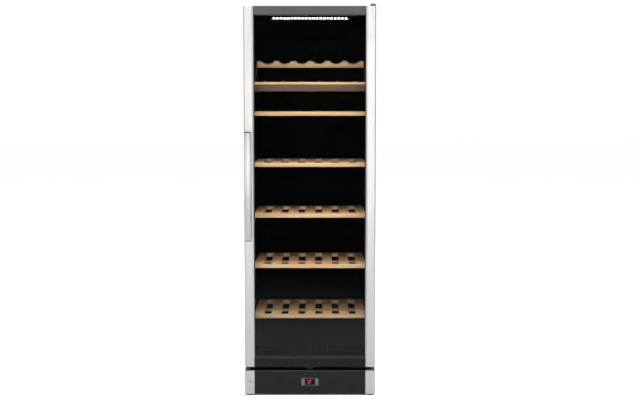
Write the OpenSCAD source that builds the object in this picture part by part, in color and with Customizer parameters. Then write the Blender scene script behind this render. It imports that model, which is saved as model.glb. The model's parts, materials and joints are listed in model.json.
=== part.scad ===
// Tall free-standing wine cooler: insulated cabinet with a machine niche, glass door hinged on the right,
// five flat wooden shelves, one tilted display shelf, and a plinth with the lock and the temperature control.
// Frame: X to the right seen from the front, Y from front to back, Z up, origin on the floor at the middle
// of the outer box.

/* [Cabinet] */
// Outer width of cabinet, door and plinth
overall_w = 595; // [585:1:610]
// Height of the top panel above the floor
cabinet_h = 1774; // [1760:1:1850]
// Depth of the insulated cabinet, front flange to back panel
cabinet_d = 512; // [505:1:540]
// Thickness of the insulated side walls
side_wall = 35; // [32:1:38]
// Thickness of the insulated top wall
top_wall = 42; // [40:1:50]
// Thickness of the insulated back wall
back_wall = 50; // [45:1:55]
// Height of the inside floor above the ground
floor_z = 155; // [150:1:160]

/* [Door] */
// Door thickness, front face to the back of its frame
door_t = 48; // [46:1:52]
// Gap between the door frame and the cabinet, filled by the gasket
door_gap = 10; // [9:1:12]
// Width of the aluminium side profiles, seen from the front
profile_w = 44; // [42:1:48]
// Height of the door's top rail
rail_top_h = 40; // [36:1:46]
// Height of the door's bottom rail
rail_bottom_h = 43; // [38:1:48]
// Height of the door's lower edge above the floor
door_z0 = 133; // [131:1:136]

/* [Handle] */
// Distance from the door's face to the handle's front
handle_reach = 40; // [36:1:50]
// Width of the handle bar
handle_w = 30; // [24:1:34]
// Lower end of the handle bar above the floor
handle_z0 = 716; // [600:1:800]
// Length of the handle bar
handle_len = 492; // [400:1:600]

/* [Plinth] */
// Height of the plinth's top above the floor
plinth_h = 116; // [114:1:118]
// Gap under the plinth, the thickness of the foot pads
plinth_z0 = 7; // [6:0.5:9]

/* [Shelves] */
// Height of the lowest wooden shelf's underside above the floor
shelf_z0 = 341.5; // [333:0.5:345]
// Height from one wooden shelf to the next
shelf_pitch = 234.5; // [230:0.5:235]
// Height of a shelf's front and rear rails
shelf_h = 18; // [16:1:22]
// Distance between neighbouring bottle lanes
lane_pitch = 79; // [76:1:80]
// Width of one slat
slat_w = 47; // [40:1:52]
// Height of the display shelf's underside above the floor
display_z0 = 1391; // [1388:1:1400]
// Tilt of the display shelf from the horizontal, in degrees
display_tilt = 25; // [20:1:27]

/* [Back] */
// Distance that the condenser stands behind the back panel
condenser_reach = 25; // [22:1:30]

/* [Hidden] */
$fn = 48;
sheet = 1; // steel sheet
skin = 2; // liner plastic and plinth walls
half_w = overall_w / 2;
overall_d = handle_reach + door_t + door_gap + cabinet_d + condenser_reach;
y_handle = -overall_d / 2;
y_door = y_handle + handle_reach;
y_door_back = y_door + door_t;
y_cab = y_door_back + door_gap;
y_back = y_cab + cabinet_d;
y_rear = y_back + condenser_reach;

// Inside of the liner
in_w = half_w - side_wall;
in_top = cabinet_h - top_wall;
in_back = y_back - back_wall;
niche_y = y_back - 155; // front wall of the machine niche
niche_z = 240; // top of the machine niche
hump_y = niche_y - 35;
hump_z = niche_z + 38;
flange_w = half_w - 12; // liner flange meets the side panels' folded edges here
return_w = half_w - 14; // back panel meets the side panels' rear folds here
fold = 13; // depth of the top panel's folded edges
rib_in = 9;
rib_h = 8;
rib_y0 = y_cab + 24;
rib_y1 = in_back - 28;

// Door
door_z1 = cabinet_h - 2.5;
glass_t = 4;
unit_t = 24; // thickness of the double-glazed unit
glass_y = y_door + 4; // outer face of the glazed unit
bite = 6; // how far the frame holds the glazed unit
bite_play = 0.5;
bevel_w = 9; // bevel along the inner edge of the side profiles
bevel_d = 2.6;
clear_w = half_w - profile_w; // half the width between the profiles
hinge_x = half_w - 14;
hinge_y = y_door + 24;
pin_r = 4;
running = 0.05; // radial clearance of a running fit

// Shelves
shelf_w = in_w - 4;
shelf_y0 = y_door + 85.5;
shelf_y1 = in_back - 44.5;
rail_d = 20;
slat_t = 12;
lanes = 6;
display_lane = 82;
display_y0 = y_door + 92.5;

// Plinth, lock and control
lock_x = -half_w + 24;
lock_z = 65;
crank_r = 12;
bolt_rest = -crank_r * sin(45); // crank pin's height from the lock's axis when unlocked
bolt_x = lock_x - 9.5;
bolt_y = y_door + 33;
control_z = 64;
control_w = 82;
control_h = 38;
foot_x = half_w - 22;
foot_y = y_door + 28.5;
foot_r = 20.5;
roller_r = 14;
roller_y = y_back - 45;

// Machine parts
comp_x = 105;
comp_y = niche_y + 80;
comp_z = 34;
coil_y = y_back + 11;
coil_r = 2.5;
coil_w = 235;
coil_pitch = 62;
coil_z0 = 330;
coil_passes = 20;
fan_z = 1540;
duct_y0 = in_back - 35;
duct_w = 190;
duct_z0 = 660;
duct_z1 = 1660;
duct_wall = 2.5;
drain = [60, 216, 8]; // drain spout's X, Y and outer radius
wire_pitch = 23; // between the condenser's vertical wires
clip_x = 9 * wire_pitch;
inlet_x = -188;
inlet_z = 52;
drier_x = -120;

// ---- Helpers ----

// Box between two opposite corners
module box(lo, hi) {
    translate(lo) cube(hi - lo);
}

// Prism along X from points given as [y, z]
module prism_x(points, x0, x1) {
    translate([x0, 0, 0]) rotate([90, 0, 90]) linear_extrude(x1 - x0) polygon(points);
}

// Prism along Y from points given as [x, z]
module prism_y(points, y0, y1) {
    translate([0, y1, 0]) rotate([90, 0, 0]) linear_extrude(y1 - y0) polygon(points);
}

module prism_z(points, z0, z1) {
    translate([0, 0, z0]) linear_extrude(z1 - z0) polygon(points);
}

module rod_x(r, y, z, x0, x1) {
    translate([x0, y, z]) rotate([0, 90, 0]) cylinder(r = r, h = x1 - x0);
}

module rod_y(r, x, z, y0, y1) {
    translate([x, y0, z]) rotate([-90, 0, 0]) cylinder(r = r, h = y1 - y0);
}

module rod_z(r, x, y, z0, z1) {
    translate([x, y, z0]) cylinder(r = r, h = z1 - z0);
}

// Both a shape and its mirror image across the YZ plane
module both_sides() {
    children();
    mirror([1, 0, 0]) children();
}

function arc(cx, cy, r, a0, a1) = [for (i = [0:6]) let (a = a0 + (a1 - a0) * i / 6)
    [cx + r * cos(a), cy + r * sin(a)]];

function rounded(x0, y0, x1, y1, r) = concat(
    arc(x1 - r, y0 + r, r, -90, 0), arc(x1 - r, y1 - r, r, 0, 90),
    arc(x0 + r, y1 - r, r, 90, 180), arc(x0 + r, y0 + r, r, 180, 270));

// Rectangular ring in the XZ plane: outer and inner half widths, heights, and its span in Y
module frame_ring(w1, z0, z1, w2, i0, i1, y0, y1) {
    difference() {
        box([-w1, y0, z0], [w1, y1, z1]);
        box([-w2, y0 - 1, i0], [w2, y1 + 1, i1]);
    }
}

// Round tube through axis-aligned points, with a brazed ball at each bend
module pipe(points, r) {
    for (i = [0:len(points) - 2]) {
        a = points[i];
        d = points[i + 1] - a;
        turn = d[0] != 0 ? [0, sign(d[0]) * 90, 0]
            : d[1] != 0 ? [-sign(d[1]) * 90, 0, 0] : [d[2] > 0 ? 0 : 180, 0, 0];
        translate(a) rotate(turn) cylinder(r = r, h = norm(d));
        if (i > 0) {
            translate(a) sphere(r = r * 1.25);
        }
    }
}

// Horizontal serpentine tube with round bends, in the plane y
module serpentine(w, z0, pitch, passes, r, y) {
    for (i = [0:passes - 1]) {
        rod_x(r, y, z0 + i * pitch, -w, w);
    }
    for (i = [0:passes - 2]) {
        side = i % 2 == 0 ? 1 : -1;
        translate([side * w, y, z0 + (i + 0.5) * pitch]) rotate([90, 0, side > 0 ? 0 : 180])
            rotate([0, 0, -90]) rotate_extrude(angle = 180) translate([pitch / 2, 0]) circle(r = r);
    }
}

// ---- Cabinet ----

// Sheet-steel side with folded front and rear edges, on the right
module side_sheet() {
    prism_z([[half_w, y_cab], [half_w, y_back], [return_w, y_back], [return_w, y_back - sheet],
        [half_w - sheet, y_back - sheet], [half_w - sheet, y_cab + sheet],
        [flange_w, y_cab + sheet], [flange_w, y_cab]], 18, cabinet_h);
}

module side_panel_right() {
    color("#2b2c2e") side_sheet();
}

module side_panel_left() {
    color("#2b2c2e") mirror([1, 0, 0]) side_sheet();
}

module top_panel() {
    w = half_w - sheet;
    color("#2b2c2e") union() {
        box([-w, y_cab + sheet, cabinet_h - sheet], [w, y_back - sheet, cabinet_h]);
        box([-flange_w, y_cab, cabinet_h - fold - 2], [flange_w, y_cab + sheet, cabinet_h]);
        box([-return_w, y_back - sheet, cabinet_h - fold], [return_w, y_back, cabinet_h]);
    }
}

module back_panel() {
    color("#55585a") box([-return_w, y_back - sheet, niche_z - sheet],
        [return_w, y_back, cabinet_h - fold]);
}

// Folded sheet under the insulated box, stepping up over the machine niche
module underside_panel() {
    color("#8d9092") difference() {
        prism_x([[y_cab + skin, plinth_h], [niche_y + sheet, plinth_h],
            [niche_y + sheet, niche_z - sheet], [y_back - sheet, niche_z - sheet],
            [y_back - sheet, niche_z], [niche_y, niche_z], [niche_y, plinth_h + sheet],
            [y_cab + skin, plinth_h + sheet]], -half_w + sheet, half_w - sheet);
        rod_z(drain[2], drain[0], drain[1], niche_z - 2, niche_z + 1);
    }
}

// Section of the cavity as [y, z], grown outwards by g on every side but the front
function cavity(g) = [[y_cab - 1, floor_z - g], [hump_y + g, floor_z - g],
    [hump_y + g, hump_z - g], [in_back + g, hump_z - g],
    [in_back + g, in_top + g], [y_cab - 1, in_top + g]];

module insulation_foam() {
    w = half_w - sheet;
    z1 = cabinet_h - sheet;
    color("#e8dfae") difference() {
        prism_x([[y_cab + skin, plinth_h + sheet], [niche_y, plinth_h + sheet], [niche_y, niche_z],
            [y_back - sheet, niche_z], [y_back - sheet, z1], [y_cab + skin, z1]], -w, w);
        prism_x(cavity(skin), -in_w - skin, in_w + skin);
        rod_z(drain[2], drain[0], drain[1], niche_z - 1, hump_z);
    }
}

function shelf_z(i) = shelf_z0 + (5 - i) * shelf_pitch;

// Ledges moulded in the liner's side walls, one pair under each shelf
module liner_ribs() {
    for (z = [for (i = [1:5]) shelf_z(i), display_z0]) {
        both_sides() prism_y([[in_w - rib_in, z], [in_w - rib_in, z - rib_h + 3],
            [in_w - rib_in + 4, z - rib_h], [in_w + 0.5, z - rib_h], [in_w + 0.5, z]],
            rib_y0, rib_y1);
    }
}

module inner_liner() {
    color("#141516") difference() {
        union() {
            difference() {
                prism_x(cavity(skin), -in_w - skin, in_w + skin);
                prism_x(cavity(0), -in_w, in_w);
                box([-half_w, y_cab - 2, 0], [half_w, y_cab, cabinet_h]);
            }
            frame_ring(flange_w, plinth_h, cabinet_h - fold - 2, in_w, floor_z, in_top, y_cab, y_cab + skin);
            liner_ribs();
            rod_z(drain[2], drain[0], drain[1], niche_z - 12, hump_z - 1);
        }
        rod_z(drain[2] - skin, drain[0], drain[1], niche_z - 13, hump_z + 1);
    }
}

// ---- Light ----

light_w = 185;
light_z = in_top - 11; // middle of the slanted light face
light_y = y_cab + 25;
led_count = 21;
led_pitch = 16.4;

// Puts its children on the slanted face, with Z out of the face towards the front and down
module on_light_face() {
    translate([0, light_y, light_z]) rotate([135, 0, 0]) children();
}

module light_housing() {
    color("#1b1c1d") difference() {
        prism_x([[light_y - 7, in_top], [light_y - 7, light_z + 7], [light_y + 7, light_z - 7],
            [light_y + 30, light_z - 7], [light_y + 35, in_top]], -light_w, light_w);
        on_light_face() box([-176, -6.6, -6], [176, 6.6, 1]);
    }
}

module led_board() {
    color("#e9f5f3") on_light_face() {
        box([-175, -6, -6], [175, 6, -4.4]);
        for (i = [0:led_count - 1]) {
            translate([(i - (led_count - 1) / 2) * led_pitch, 0, -4.4]) {
                box([-2.8, -2.8, 0], [2.8, 2.8, 1.2]);
            }
        }
    }
}

module light_lens() {
    color("#dff0ee", 0.4) on_light_face() box([-175.8, -6.4, -1.6], [175.8, 6.4, 0]);
}

// ---- Cold side ----

module air_duct_cover() {
    wall = duct_wall;
    color("#1a1b1c") difference() {
        prism_x([[duct_y0, duct_z0 + 12], [duct_y0 + 12, duct_z0], [in_back, duct_z0],
            [in_back, duct_z1], [duct_y0 + 12, duct_z1], [duct_y0, duct_z1 - 12]], -duct_w, duct_w);
        box([-duct_w + wall, duct_y0 + wall, duct_z0 + 14], [duct_w - wall, in_back + 1, duct_z1 - 14]);
        // fan outlet slots
        for (i = [-4:4]) {
            z = fan_z + i * 11;
            w = sqrt(52 * 52 - i * i * 121) - 2;
            box([-w, duct_y0 - 1, z - 3], [w, duct_y0 + wall + 1, z + 3]);
        }
        // return air slots
        for (k = [0:3]) {
            both_sides() for (i = [0:4]) {
                x = 60 + i * 24;
                z = duct_z0 + 60 + k * 110;
                box([x - 4, duct_y0 - 1, z], [x + 4, duct_y0 + wall + 1, z + 60]);
            }
        }
    }
}

module evaporator() {
    passes = 5;
    pitch = 50;
    z0 = 1130;
    y = duct_y0 + 18;
    tube_r = 4;
    color("#c9ccce") {
        serpentine(145, z0, pitch, passes, tube_r, y);
        for (i = [-10:10]) {
            // the end plates reach back to the liner
            back = abs(i) == 10 ? in_back : y + 11;
            difference() {
                box([i * 13 - 0.5, y - 11, z0 - 22], [i * 13 + 0.5, back, z0 + passes * pitch - 28]);
                for (k = [0:passes - 1]) {
                    rod_x(tube_r + running, y, z0 + k * pitch, i * 13 - 1, i * 13 + 1);
                }
            }
        }
    }
}

module fan_frame() {
    y0 = duct_y0 + duct_wall;
    y1 = y0 + 25;
    spindle_r = 3;
    color("#202122") union() {
        difference() {
            box([-60, y0, fan_z - 60], [60, y1, fan_z + 60]);
            rod_y(56, 0, fan_z, y0 - 1, y1 + 1);
            for (x = [-52.5, 52.5]) {
                for (z = [-52.5, 52.5]) {
                    rod_y(2.2, x, fan_z + z, y0 - 1, y1 + 1);
                }
            }
        }
        rod_y(21, 0, fan_z, y1 - 4, y1);
        rod_y(spindle_r, 0, fan_z, y0 + 6, y1 - 2);
        for (a = [45:90:315]) {
            translate([0, 0, fan_z]) rotate([0, a, 0]) box([18, y1 - 4, -3], [57.5, y1, 3]);
        }
    }
}

module fan_rotor() {
    y0 = duct_y0 + duct_wall + 1;
    y1 = y0 + 19;
    blades = 7;
    color("#2c2d2f") difference() {
        union() {
            rod_y(20, 0, fan_z, y0, y1);
            intersection() {
                for (i = [0:blades - 1]) {
                    translate([0, (y0 + y1) / 2, fan_z]) rotate([0, i * 360 / blades, 0])
                        translate([17, 0, 0]) rotate([35, 0, 0]) box([0, -9, -0.9], [38, 9, 0.9]);
                }
                rod_y(54, 0, fan_z, y0, y1);
            }
        }
        rod_y(3 + running, 0, fan_z, y0 + 4, y1 + 1);
    }
}

module temperature_probe() {
    x = in_w;
    z0 = shelf_z(3) + 90;
    color("#303234") union() {
        box([x - 4, 40, z0], [x, 64, z0 + 60]);
        rod_z(4.5, x - 6.5, 52, z0 + 6, z0 + 54);
    }
}

// Black wire rack on the inside floor, its long wires between the bottle lanes
module bottom_rack() {
    wire = 3;
    y0 = shelf_y0 + 6;
    y1 = hump_y - 8;
    color("#18191a") union() {
        for (y = [y0 + 30, (y0 + y1) / 2, y1 - 30]) {
            rod_x(wire, y, floor_z + wire, -in_w + 8, in_w - 8);
        }
        for (i = [-3:3]) {
            rod_y(wire, i * lane_pitch, floor_z + 2.6 * wire, y0, y1);
        }
    }
}

// ---- Machine niche ----

module compressor() {
    z = comp_z;
    color("#1c1d1f") {
        // welded pot with its seam flange and mounting plate
        difference() {
            union() {
                translate([comp_x, comp_y, z + 2]) rotate_extrude() polygon(concat([[0, 0]],
                    arc(42, 20, 20, -90, 0), [[62, 62], [66, 62], [66, 68], [60, 68]],
                    arc(22, 96, 38, 0, 90), [[0, 134]]));
                box([comp_x - 88, comp_y - 52, z - 1], [comp_x + 88, comp_y + 52, z + 3]);
                rod_x(4, comp_y - 20, z + 90, comp_x - 74, comp_x - 50);
                rod_x(4, comp_y + 20, z + 90, comp_x - 74, comp_x - 50);
            }
            for (x = [-76, 76]) {
                for (y = [-42, 42]) {
                    rod_z(5, comp_x + x, comp_y + y, z - 2, z + 4);
                }
            }
        }
        // relay and terminal cover
        prism_z(rounded(comp_x + 64, comp_y - 26, comp_x + 100, comp_y + 26, 6), z + 30, z + 92);
    }
}

module compressor_mounts() {
    color("#101112") for (x = [-76, 76]) {
        for (y = [-42, 42]) {
            difference() {
                union() {
                    rod_z(10, comp_x + x, comp_y + y, 20, comp_z - 1);
                    rod_z(4.9, comp_x + x, comp_y + y, 20, comp_z + 5);
                }
                rod_z(3, comp_x + x, comp_y + y, 19, comp_z + 6);
            }
        }
    }
}

module drip_tray() {
    x0 = comp_x - 82;
    x1 = comp_x + 82;
    y0 = comp_y - 56;
    y1 = comp_y + 56;
    z0 = comp_z + 136;
    color("#6f7274") difference() {
        prism_z(rounded(x0, y0, x1, y1, 12), z0, z0 + 28);
        prism_z(rounded(x0 + skin, y0 + skin, x1 - skin, y1 - skin, 10), z0 + skin, z0 + 29);
    }
}

module condenser_coil() {
    color("#151617") serpentine(coil_w, coil_z0, coil_pitch, coil_passes, coil_r, coil_y);
}

module condenser_wires() {
    count = 20;
    z1 = coil_z0 + (coil_passes - 1) * coil_pitch + 14;
    color("#151617") for (i = [0:count - 1]) {
        x = (i - (count - 1) / 2) * wire_pitch;
        rod_z(0.9, x, coil_y + coil_r + 0.95, coil_z0 - 14, z1);
    }
}

// Stand-offs that hold the coil to the back panel and set the cabinet's distance from the wall
module condenser_clips() {
    w = 9;
    color("#232425") for (k = [1, 10, 18]) {
        z = coil_z0 + k * coil_pitch;
        both_sides() translate([clip_x, 0, z]) difference() {
            box([-w, y_back, -13], [w, y_rear, 13]);
            rod_x(coil_r + 0.1, coil_y, 0, -w - 1, w + 1);
            // snap slot between the prongs, then the shoulders beside them
            box([-w - 1, coil_y, -2.2], [w + 1, y_rear + 1, 2.2]);
            box([-w - 1, coil_y + 1.5, 6], [w + 1, y_rear + 1, 14]);
            box([-w - 1, coil_y + 1.5, -14], [w + 1, y_rear + 1, -6]);
        }
    }
}

module refrigerant_lines() {
    r = 3;
    x_port = comp_x - 74;
    z_port = comp_z + 90;
    z_coil1 = coil_z0 + (coil_passes - 1) * coil_pitch;
    x_down = -coil_w - coil_pitch / 2 - 10;
    z_in = 205; // liquid line's way into the niche
    color("#b36b3c") {
        // discharge line, compressor to condenser
        pipe([[x_port, comp_y + 20, z_port], [-30, comp_y + 20, z_port], [-30, coil_y, z_port],
            [-30, coil_y, coil_z0 - 30], [-coil_w - 8, coil_y, coil_z0 - 30],
            [-coil_w - 8, coil_y, coil_z0], [-coil_w, coil_y, coil_z0]], coil_r);
        // suction line, up into the foam through the top of the niche
        pipe([[x_port, comp_y - 20, z_port], [0, comp_y - 20, z_port],
            [0, comp_y - 20, niche_z - sheet]], 4);
        // liquid line, down from the condenser to the drier
        pipe([[-coil_w, coil_y, z_coil1], [x_down, coil_y, z_coil1], [x_down, coil_y, z_in],
            [x_down, comp_y, z_in], [drier_x, comp_y, z_in], [drier_x, comp_y, 165]], coil_r);
        rod_z(9, drier_x, comp_y, 80, 170);
        // capillary, from the drier's lower neck up into the foam
        pipe([[drier_x, comp_y, 82], [drier_x, comp_y, 60], [drier_x + 25, comp_y, 60],
            [drier_x + 25, comp_y, niche_z - sheet]], 1.8);
    }
}

// Power box with a recessed inlet in its rear face
module mains_inlet() {
    y1 = y_back - 4;
    z = inlet_z;
    color("#1a1b1c") union() {
        difference() {
            box([inlet_x - 30, y1 - 52, 20], [inlet_x + 30, y1, z + 28]);
            prism_y(rounded(inlet_x - 12, z - 8.5, inlet_x + 12, z + 8.5, 2), y1 - 16, y1 + 1);
        }
        // three flat pins, the middle one higher
        for (k = [-1:1]) {
            zk = z - 3 + 4 * (1 - abs(k));
            box([inlet_x + 7 * k - 1, y1 - 16.5, zk], [inlet_x + 7 * k + 1, y1 - 7, zk + 4]);
        }
    }
}

// ---- Plinth ----

// Chassis: floor tray between the side panels, ears for the front feet, forks for the rear rollers
module base_frame() {
    w = half_w - sheet;
    z0 = 18;
    t = 2;
    fork_x = 236;
    color("#3a3c3e") difference() {
        union() {
            box([-w, y_cab + 2, z0], [w, y_back - 3, z0 + t]);
            both_sides() {
                box([w - t, y_cab + 2, z0], [w, y_back - 3, plinth_h]);
                box([half_w - profile_w + 5, y_door + 6, z0], [flange_w - 0.2, y_cab + 2, z0 + 6]);
                for (x = [fork_x - 14, fork_x + 12]) {
                    box([x, roller_y - 9, 5], [x + t, roller_y + 9, z0 + t]);
                }
            }
            box([-half_w + profile_w + 4, y_door + 6, z0], [half_w - profile_w - 4, y_cab + 2, z0 + t]);
            box([-half_w + profile_w + 4, y_door + 6, z0], [half_w - profile_w - 4, y_door + 8, z0 + 22]);
        }
        both_sides() {
            rod_z(5 + running, foot_x, foot_y, z0 - 1, z0 + 8);
            box([fork_x - 12, roller_y - 17, z0 - 1], [fork_x + 12, roller_y + 17, z0 + 8]);
            rod_x(3 + running, roller_y, roller_r, fork_x - 20, fork_x + 20);
            // the tray is cut away for air
            box([30, y_cab + 40, z0 - 1], [half_w - 60, niche_y - 30, z0 + 3]);
        }
    }
}

// Front foot: pad, hexagon and threaded stem
module front_foot() {
    union() {
        rod_z(foot_r, foot_x, foot_y, 0, plinth_z0 - 0.5);
        translate([foot_x, foot_y, plinth_z0 - 0.5]) cylinder(r = 9, h = 7, $fn = 6);
        rod_z(5, foot_x, foot_y, plinth_z0, 40);
    }
}

module front_foot_right() {
    color("#161718") front_foot();
}

module front_foot_left() {
    color("#161718") mirror([1, 0, 0]) front_foot();
}

module rear_rollers() {
    color("#242526") union() {
        rod_x(3, roller_y, roller_r, -252, 252);
        both_sides() {
            rod_x(roller_r, roller_y, roller_r, 236 - 11, 236 + 11);
        }
    }
}

// Front apron and top cover of the plinth, between the two aluminium caps
module plinth_panel() {
    w = clear_w - 0.3;
    t = 2.5;
    y0 = y_door + 1;
    color("#2a2c2e") difference() {
        union() {
            prism_x([[y0, plinth_z0 + 0.5], [y0, plinth_h - 3], [y0 + 3, plinth_h],
                [y_cab - 0.5, plinth_h], [y_cab - 0.5, plinth_h - t], [y0 + t + 1, plinth_h - t],
                [y0 + t, plinth_h - t - 1], [y0 + t, plinth_z0 + 0.5]], -w, w);
            // stud that the door's magnet tab passes over
            rod_z(3, 0, y_door + 10, plinth_h - 1, plinth_h + 2);
        }
        prism_y(rounded(-control_w / 2 + 1.5, control_z - control_h / 2 + 1.5,
            control_w / 2 - 1.5, control_z + control_h / 2 - 1.5, 5), y_door, y_door + 8);
    }
}

// Hollow aluminium cap at the end of the plinth, in line with the door's profile above it; right side
module plinth_cap() {
    x0 = clear_w;
    difference() {
        prism_z(concat([[x0, y_cab - 0.5]], arc(x0 + 1.5, y_door + 1.5, 1.5, 180, 270),
            arc(half_w - 4, y_door + 4, 4, -90, 0), [[half_w, y_cab - 0.5]]), plinth_z0, plinth_h);
        box([x0 + skin, y_door + skin, plinth_z0 - 1], [half_w - skin, y_cab + 1, plinth_h - skin]);
    }
}

module plinth_cap_right() {
    color("#c4c6c8") plinth_cap();
}

module plinth_cap_left() {
    color("#c4c6c8") difference() {
        mirror([1, 0, 0]) plinth_cap();
        rod_y(10.8, lock_x, lock_z, y_door - 1, y_door + 4);
        box([bolt_x - 5.3, bolt_y - 2.8, plinth_h - 3], [bolt_x + 5.3, bolt_y + 2.8, plinth_h + 1]);
    }
}

module control_bezel() {
    w = control_w / 2;
    h = control_h / 2;
    color("#17181a") difference() {
        union() {
            prism_y(rounded(-w, control_z - h, w, control_z + h, 6), y_door - 1, y_door + 1);
            prism_y(rounded(-w + 1.8, control_z - h + 1.8, w - 1.8, control_z + h - 1.8, 4.5),
                y_door + 0.5, y_door + 12);
        }
        both_sides() prism_y(rounded(25, control_z - 14.8, 37.6, control_z + 14.8, 2.5),
            y_door - 2, y_door + 13);
        prism_y(rounded(-22.5, control_z - 13.2, 22.5, control_z + 13.2, 3), y_door - 2, y_door + 13);
    }
    // posts that carry the circuit board
    color("#17181a") for (z = [-15.2, 15.2]) {
        rod_y(1.8, 0, control_z + z, y_door + 11, y_door + 17);
    }
}

module control_display() {
    color("#3a0c14") prism_y(rounded(-22.3, control_z - 13, 22.3, control_z + 13, 2.8),
        y_door - 0.4, y_door + 9);
}

module control_board() {
    y0 = y_door + 17;
    color("#1f5a3c") {
        box([-37, y0, control_z - 17], [37, y0 + 1.6, control_z + 17]);
        both_sides() box([28.5, y0 - 1.5, control_z - 3], [34.5, y0, control_z + 3]);
        box([-20, y0 - 8, control_z - 11], [20, y0, control_z + 11]);
    }
}

// Key with its guide block and the flange that keeps it in the bezel; right side
module button() {
    union() {
        prism_y(rounded(25.3, control_z - 14.5, 37.3, control_z + 14.5, 2.2), y_door - 1.6, y_door + 12.4);
        prism_y(rounded(24, control_z - 15.6, 38.6, control_z + 15.6, 2), y_door + 12.3, y_door + 13.3);
    }
}

module button_right() {
    color("#8d9092") button();
}

module button_left() {
    color("#8d9092") mirror([1, 0, 0]) button();
}

// ---- Lock ----

module lock_housing() {
    color("#b9bbbd") difference() {
        union() {
            rod_y(12.5, lock_x, lock_z, y_door - 1.2, y_door);
            rod_y(10.75, lock_x, lock_z, y_door - 0.1, y_door + 26);
            rod_y(13.5, lock_x, lock_z, y_door + skin + 0.1, y_door + skin + 4);
        }
        rod_y(8, lock_x, lock_z, y_door - 2, y_door + 27);
    }
}

// Barrel with keyway, crank disc and crank pin; the pin lifts the bolt
module lock_cylinder() {
    color("#d3d5d6") difference() {
        union() {
            rod_y(8 - running, lock_x, lock_z, y_door - 0.8, y_door + 27.4);
            rod_y(14.6, lock_x, lock_z, y_door + 26.4, y_door + 29);
            rod_y(2.4, lock_x - crank_r * cos(45), lock_z + bolt_rest, y_door + 28, y_door + 35);
        }
        translate([lock_x, y_door - 2, lock_z]) rotate([0, 45, 0]) box([-1, 0, -4.5], [1, 12, 4.5]);
    }
}

// Sliding bolt: a yoke around the crank pin and a stem up through the cap
module lock_bolt() {
    x = bolt_x;
    y0 = bolt_y - 2.5;
    y1 = bolt_y + 2.5;
    z = lock_z + bolt_rest;
    color("#9c9fa1") difference() {
        union() {
            box([x - 9, y0, z - 7], [x + 7.5, y1, z + 7]);
            box([x - 5, y0, z + 6], [x + 5, y1, plinth_h + 6]);
        }
        box([x - 5.9, y0 - 1, z - 2.9], [x + 4.4, y1 + 1, z + 2.9]);
    }
}

// ---- Hinges ----

module hinge_bracket_top() {
    z = cabinet_h;
    color("#3c3e40") difference() {
        union() {
            box([half_w - 21, hinge_y - 11, z], [half_w - 3, y_cab + 100, z + 3]);
            rod_z(pin_r, hinge_x, hinge_y, z - 22, z + 2);
        }
        for (y = [y_cab + 45, y_cab + 80]) {
            rod_z(3.2, half_w - 12, y, z - 1, z + 4);
        }
    }
}

module hinge_cover_top() {
    x0 = half_w - 24;
    x1 = half_w - 0.5;
    y0 = y_door + 6;
    y1 = y_cab + 106;
    z = cabinet_h;
    color("#1d1e20") difference() {
        prism_y([[x0, z], [x0, z + 5], [x0 + 3, z + 8], [x1 - 5, z + 8], [x1, z + 4], [x1, z]], y0, y1);
        box([x0 + 2.5, y0 + 2.5, z - 1], [x1 - 2, y1 - 2.5, z + 5]);
    }
}

module hinge_bracket_bottom() {
    z = plinth_h;
    color("#b5b7b9") union() {
        box([half_w - 36, hinge_y - 12, z], [half_w - 1, y_cab, z + 4]);
        box([half_w - 32, y_cab - 3, z + 3], [half_w - 1, y_cab, z + 15]);
        rod_z(pin_r, hinge_x, hinge_y, z + 3, door_z0 + 18);
        rod_z(7, hinge_x, hinge_y, z + 3, door_z0 - 1);
    }
}

// ---- Door ----

// Hollow aluminium profile with a channel for the glazed unit, right side
module door_profile() {
    x0 = clear_w;
    difference() {
        prism_z(concat([[x0, y_door + bevel_d], [x0 + bevel_w, y_door]],
            arc(half_w - 5, y_door + 5, 5, -90, 0), arc(half_w - 2, y_door_back - 2, 2, 0, 90),
            [[x0, y_door_back]]), door_z0, door_z1);
        box([x0 - 1, glass_y - 0.2, door_z0 - 1],
            [x0 + bite + bite_play, glass_y + unit_t + 0.2, door_z1 + 1]);
        box([x0 + bite + 2.5, y_door + 2.2, door_z0 - 1], [half_w - 2.2, y_door_back - 2.2, door_z1 + 1]);
        box([x0 + 2, glass_y + unit_t + 2.2, door_z0 - 1], [x0 + bite + 3, y_door_back - 2.2, door_z1 + 1]);
    }
}

module door_profile_right() {
    color("#c9cbcd") door_profile();
}

module door_profile_left() {
    color("#c9cbcd") mirror([1, 0, 0]) door_profile();
}

// Section of the top rail as [y, height above the glass edge]
function rail_section(h) = [[y_door + 1, h], [y_door + 1, 2.6], [y_door + 3.6, 0],
    [glass_y - 0.2, 0], [glass_y - 0.2, bite + bite_play],
    [glass_y + unit_t + 0.2, bite + bite_play], [glass_y + unit_t + 0.2, 0], [y_door_back, 0],
    [y_door_back, h]];

module rail(h) {
    difference() {
        prism_x(rail_section(h), -clear_w, clear_w);
        box([-clear_w - 1, y_door + 3.5, bite + 3], [clear_w + 1, y_door_back - 2.2, h - 2.2]);
    }
}

module door_rail_top() {
    color("#4d4f51") translate([0, 0, door_z1 - rail_top_h]) rail(rail_top_h);
}

module door_rail_bottom() {
    color("#26282a") union() {
        translate([0, 0, door_z0 + rail_bottom_h]) mirror([0, 0, 1]) rail(rail_bottom_h);
        // magnet tab under the rail's middle
        prism_y([[-22, door_z0 + 0.5], [-22, door_z0], [-10, door_z0 - 10], [10, door_z0 - 10],
            [22, door_z0], [22, door_z0 + 0.5]], y_door + 2, y_door + 18);
    }
}

// Both panes and the spacer share this outline, held in the frame's channel
pane_w = clear_w + bite;
pane_z0 = door_z0 + rail_bottom_h - bite;
pane_z1 = door_z1 - rail_top_h + bite;

module door_glass_outer() {
    color("#0f1214", 0.55) box([-pane_w, glass_y, pane_z0], [pane_w, glass_y + glass_t, pane_z1]);
}

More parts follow.
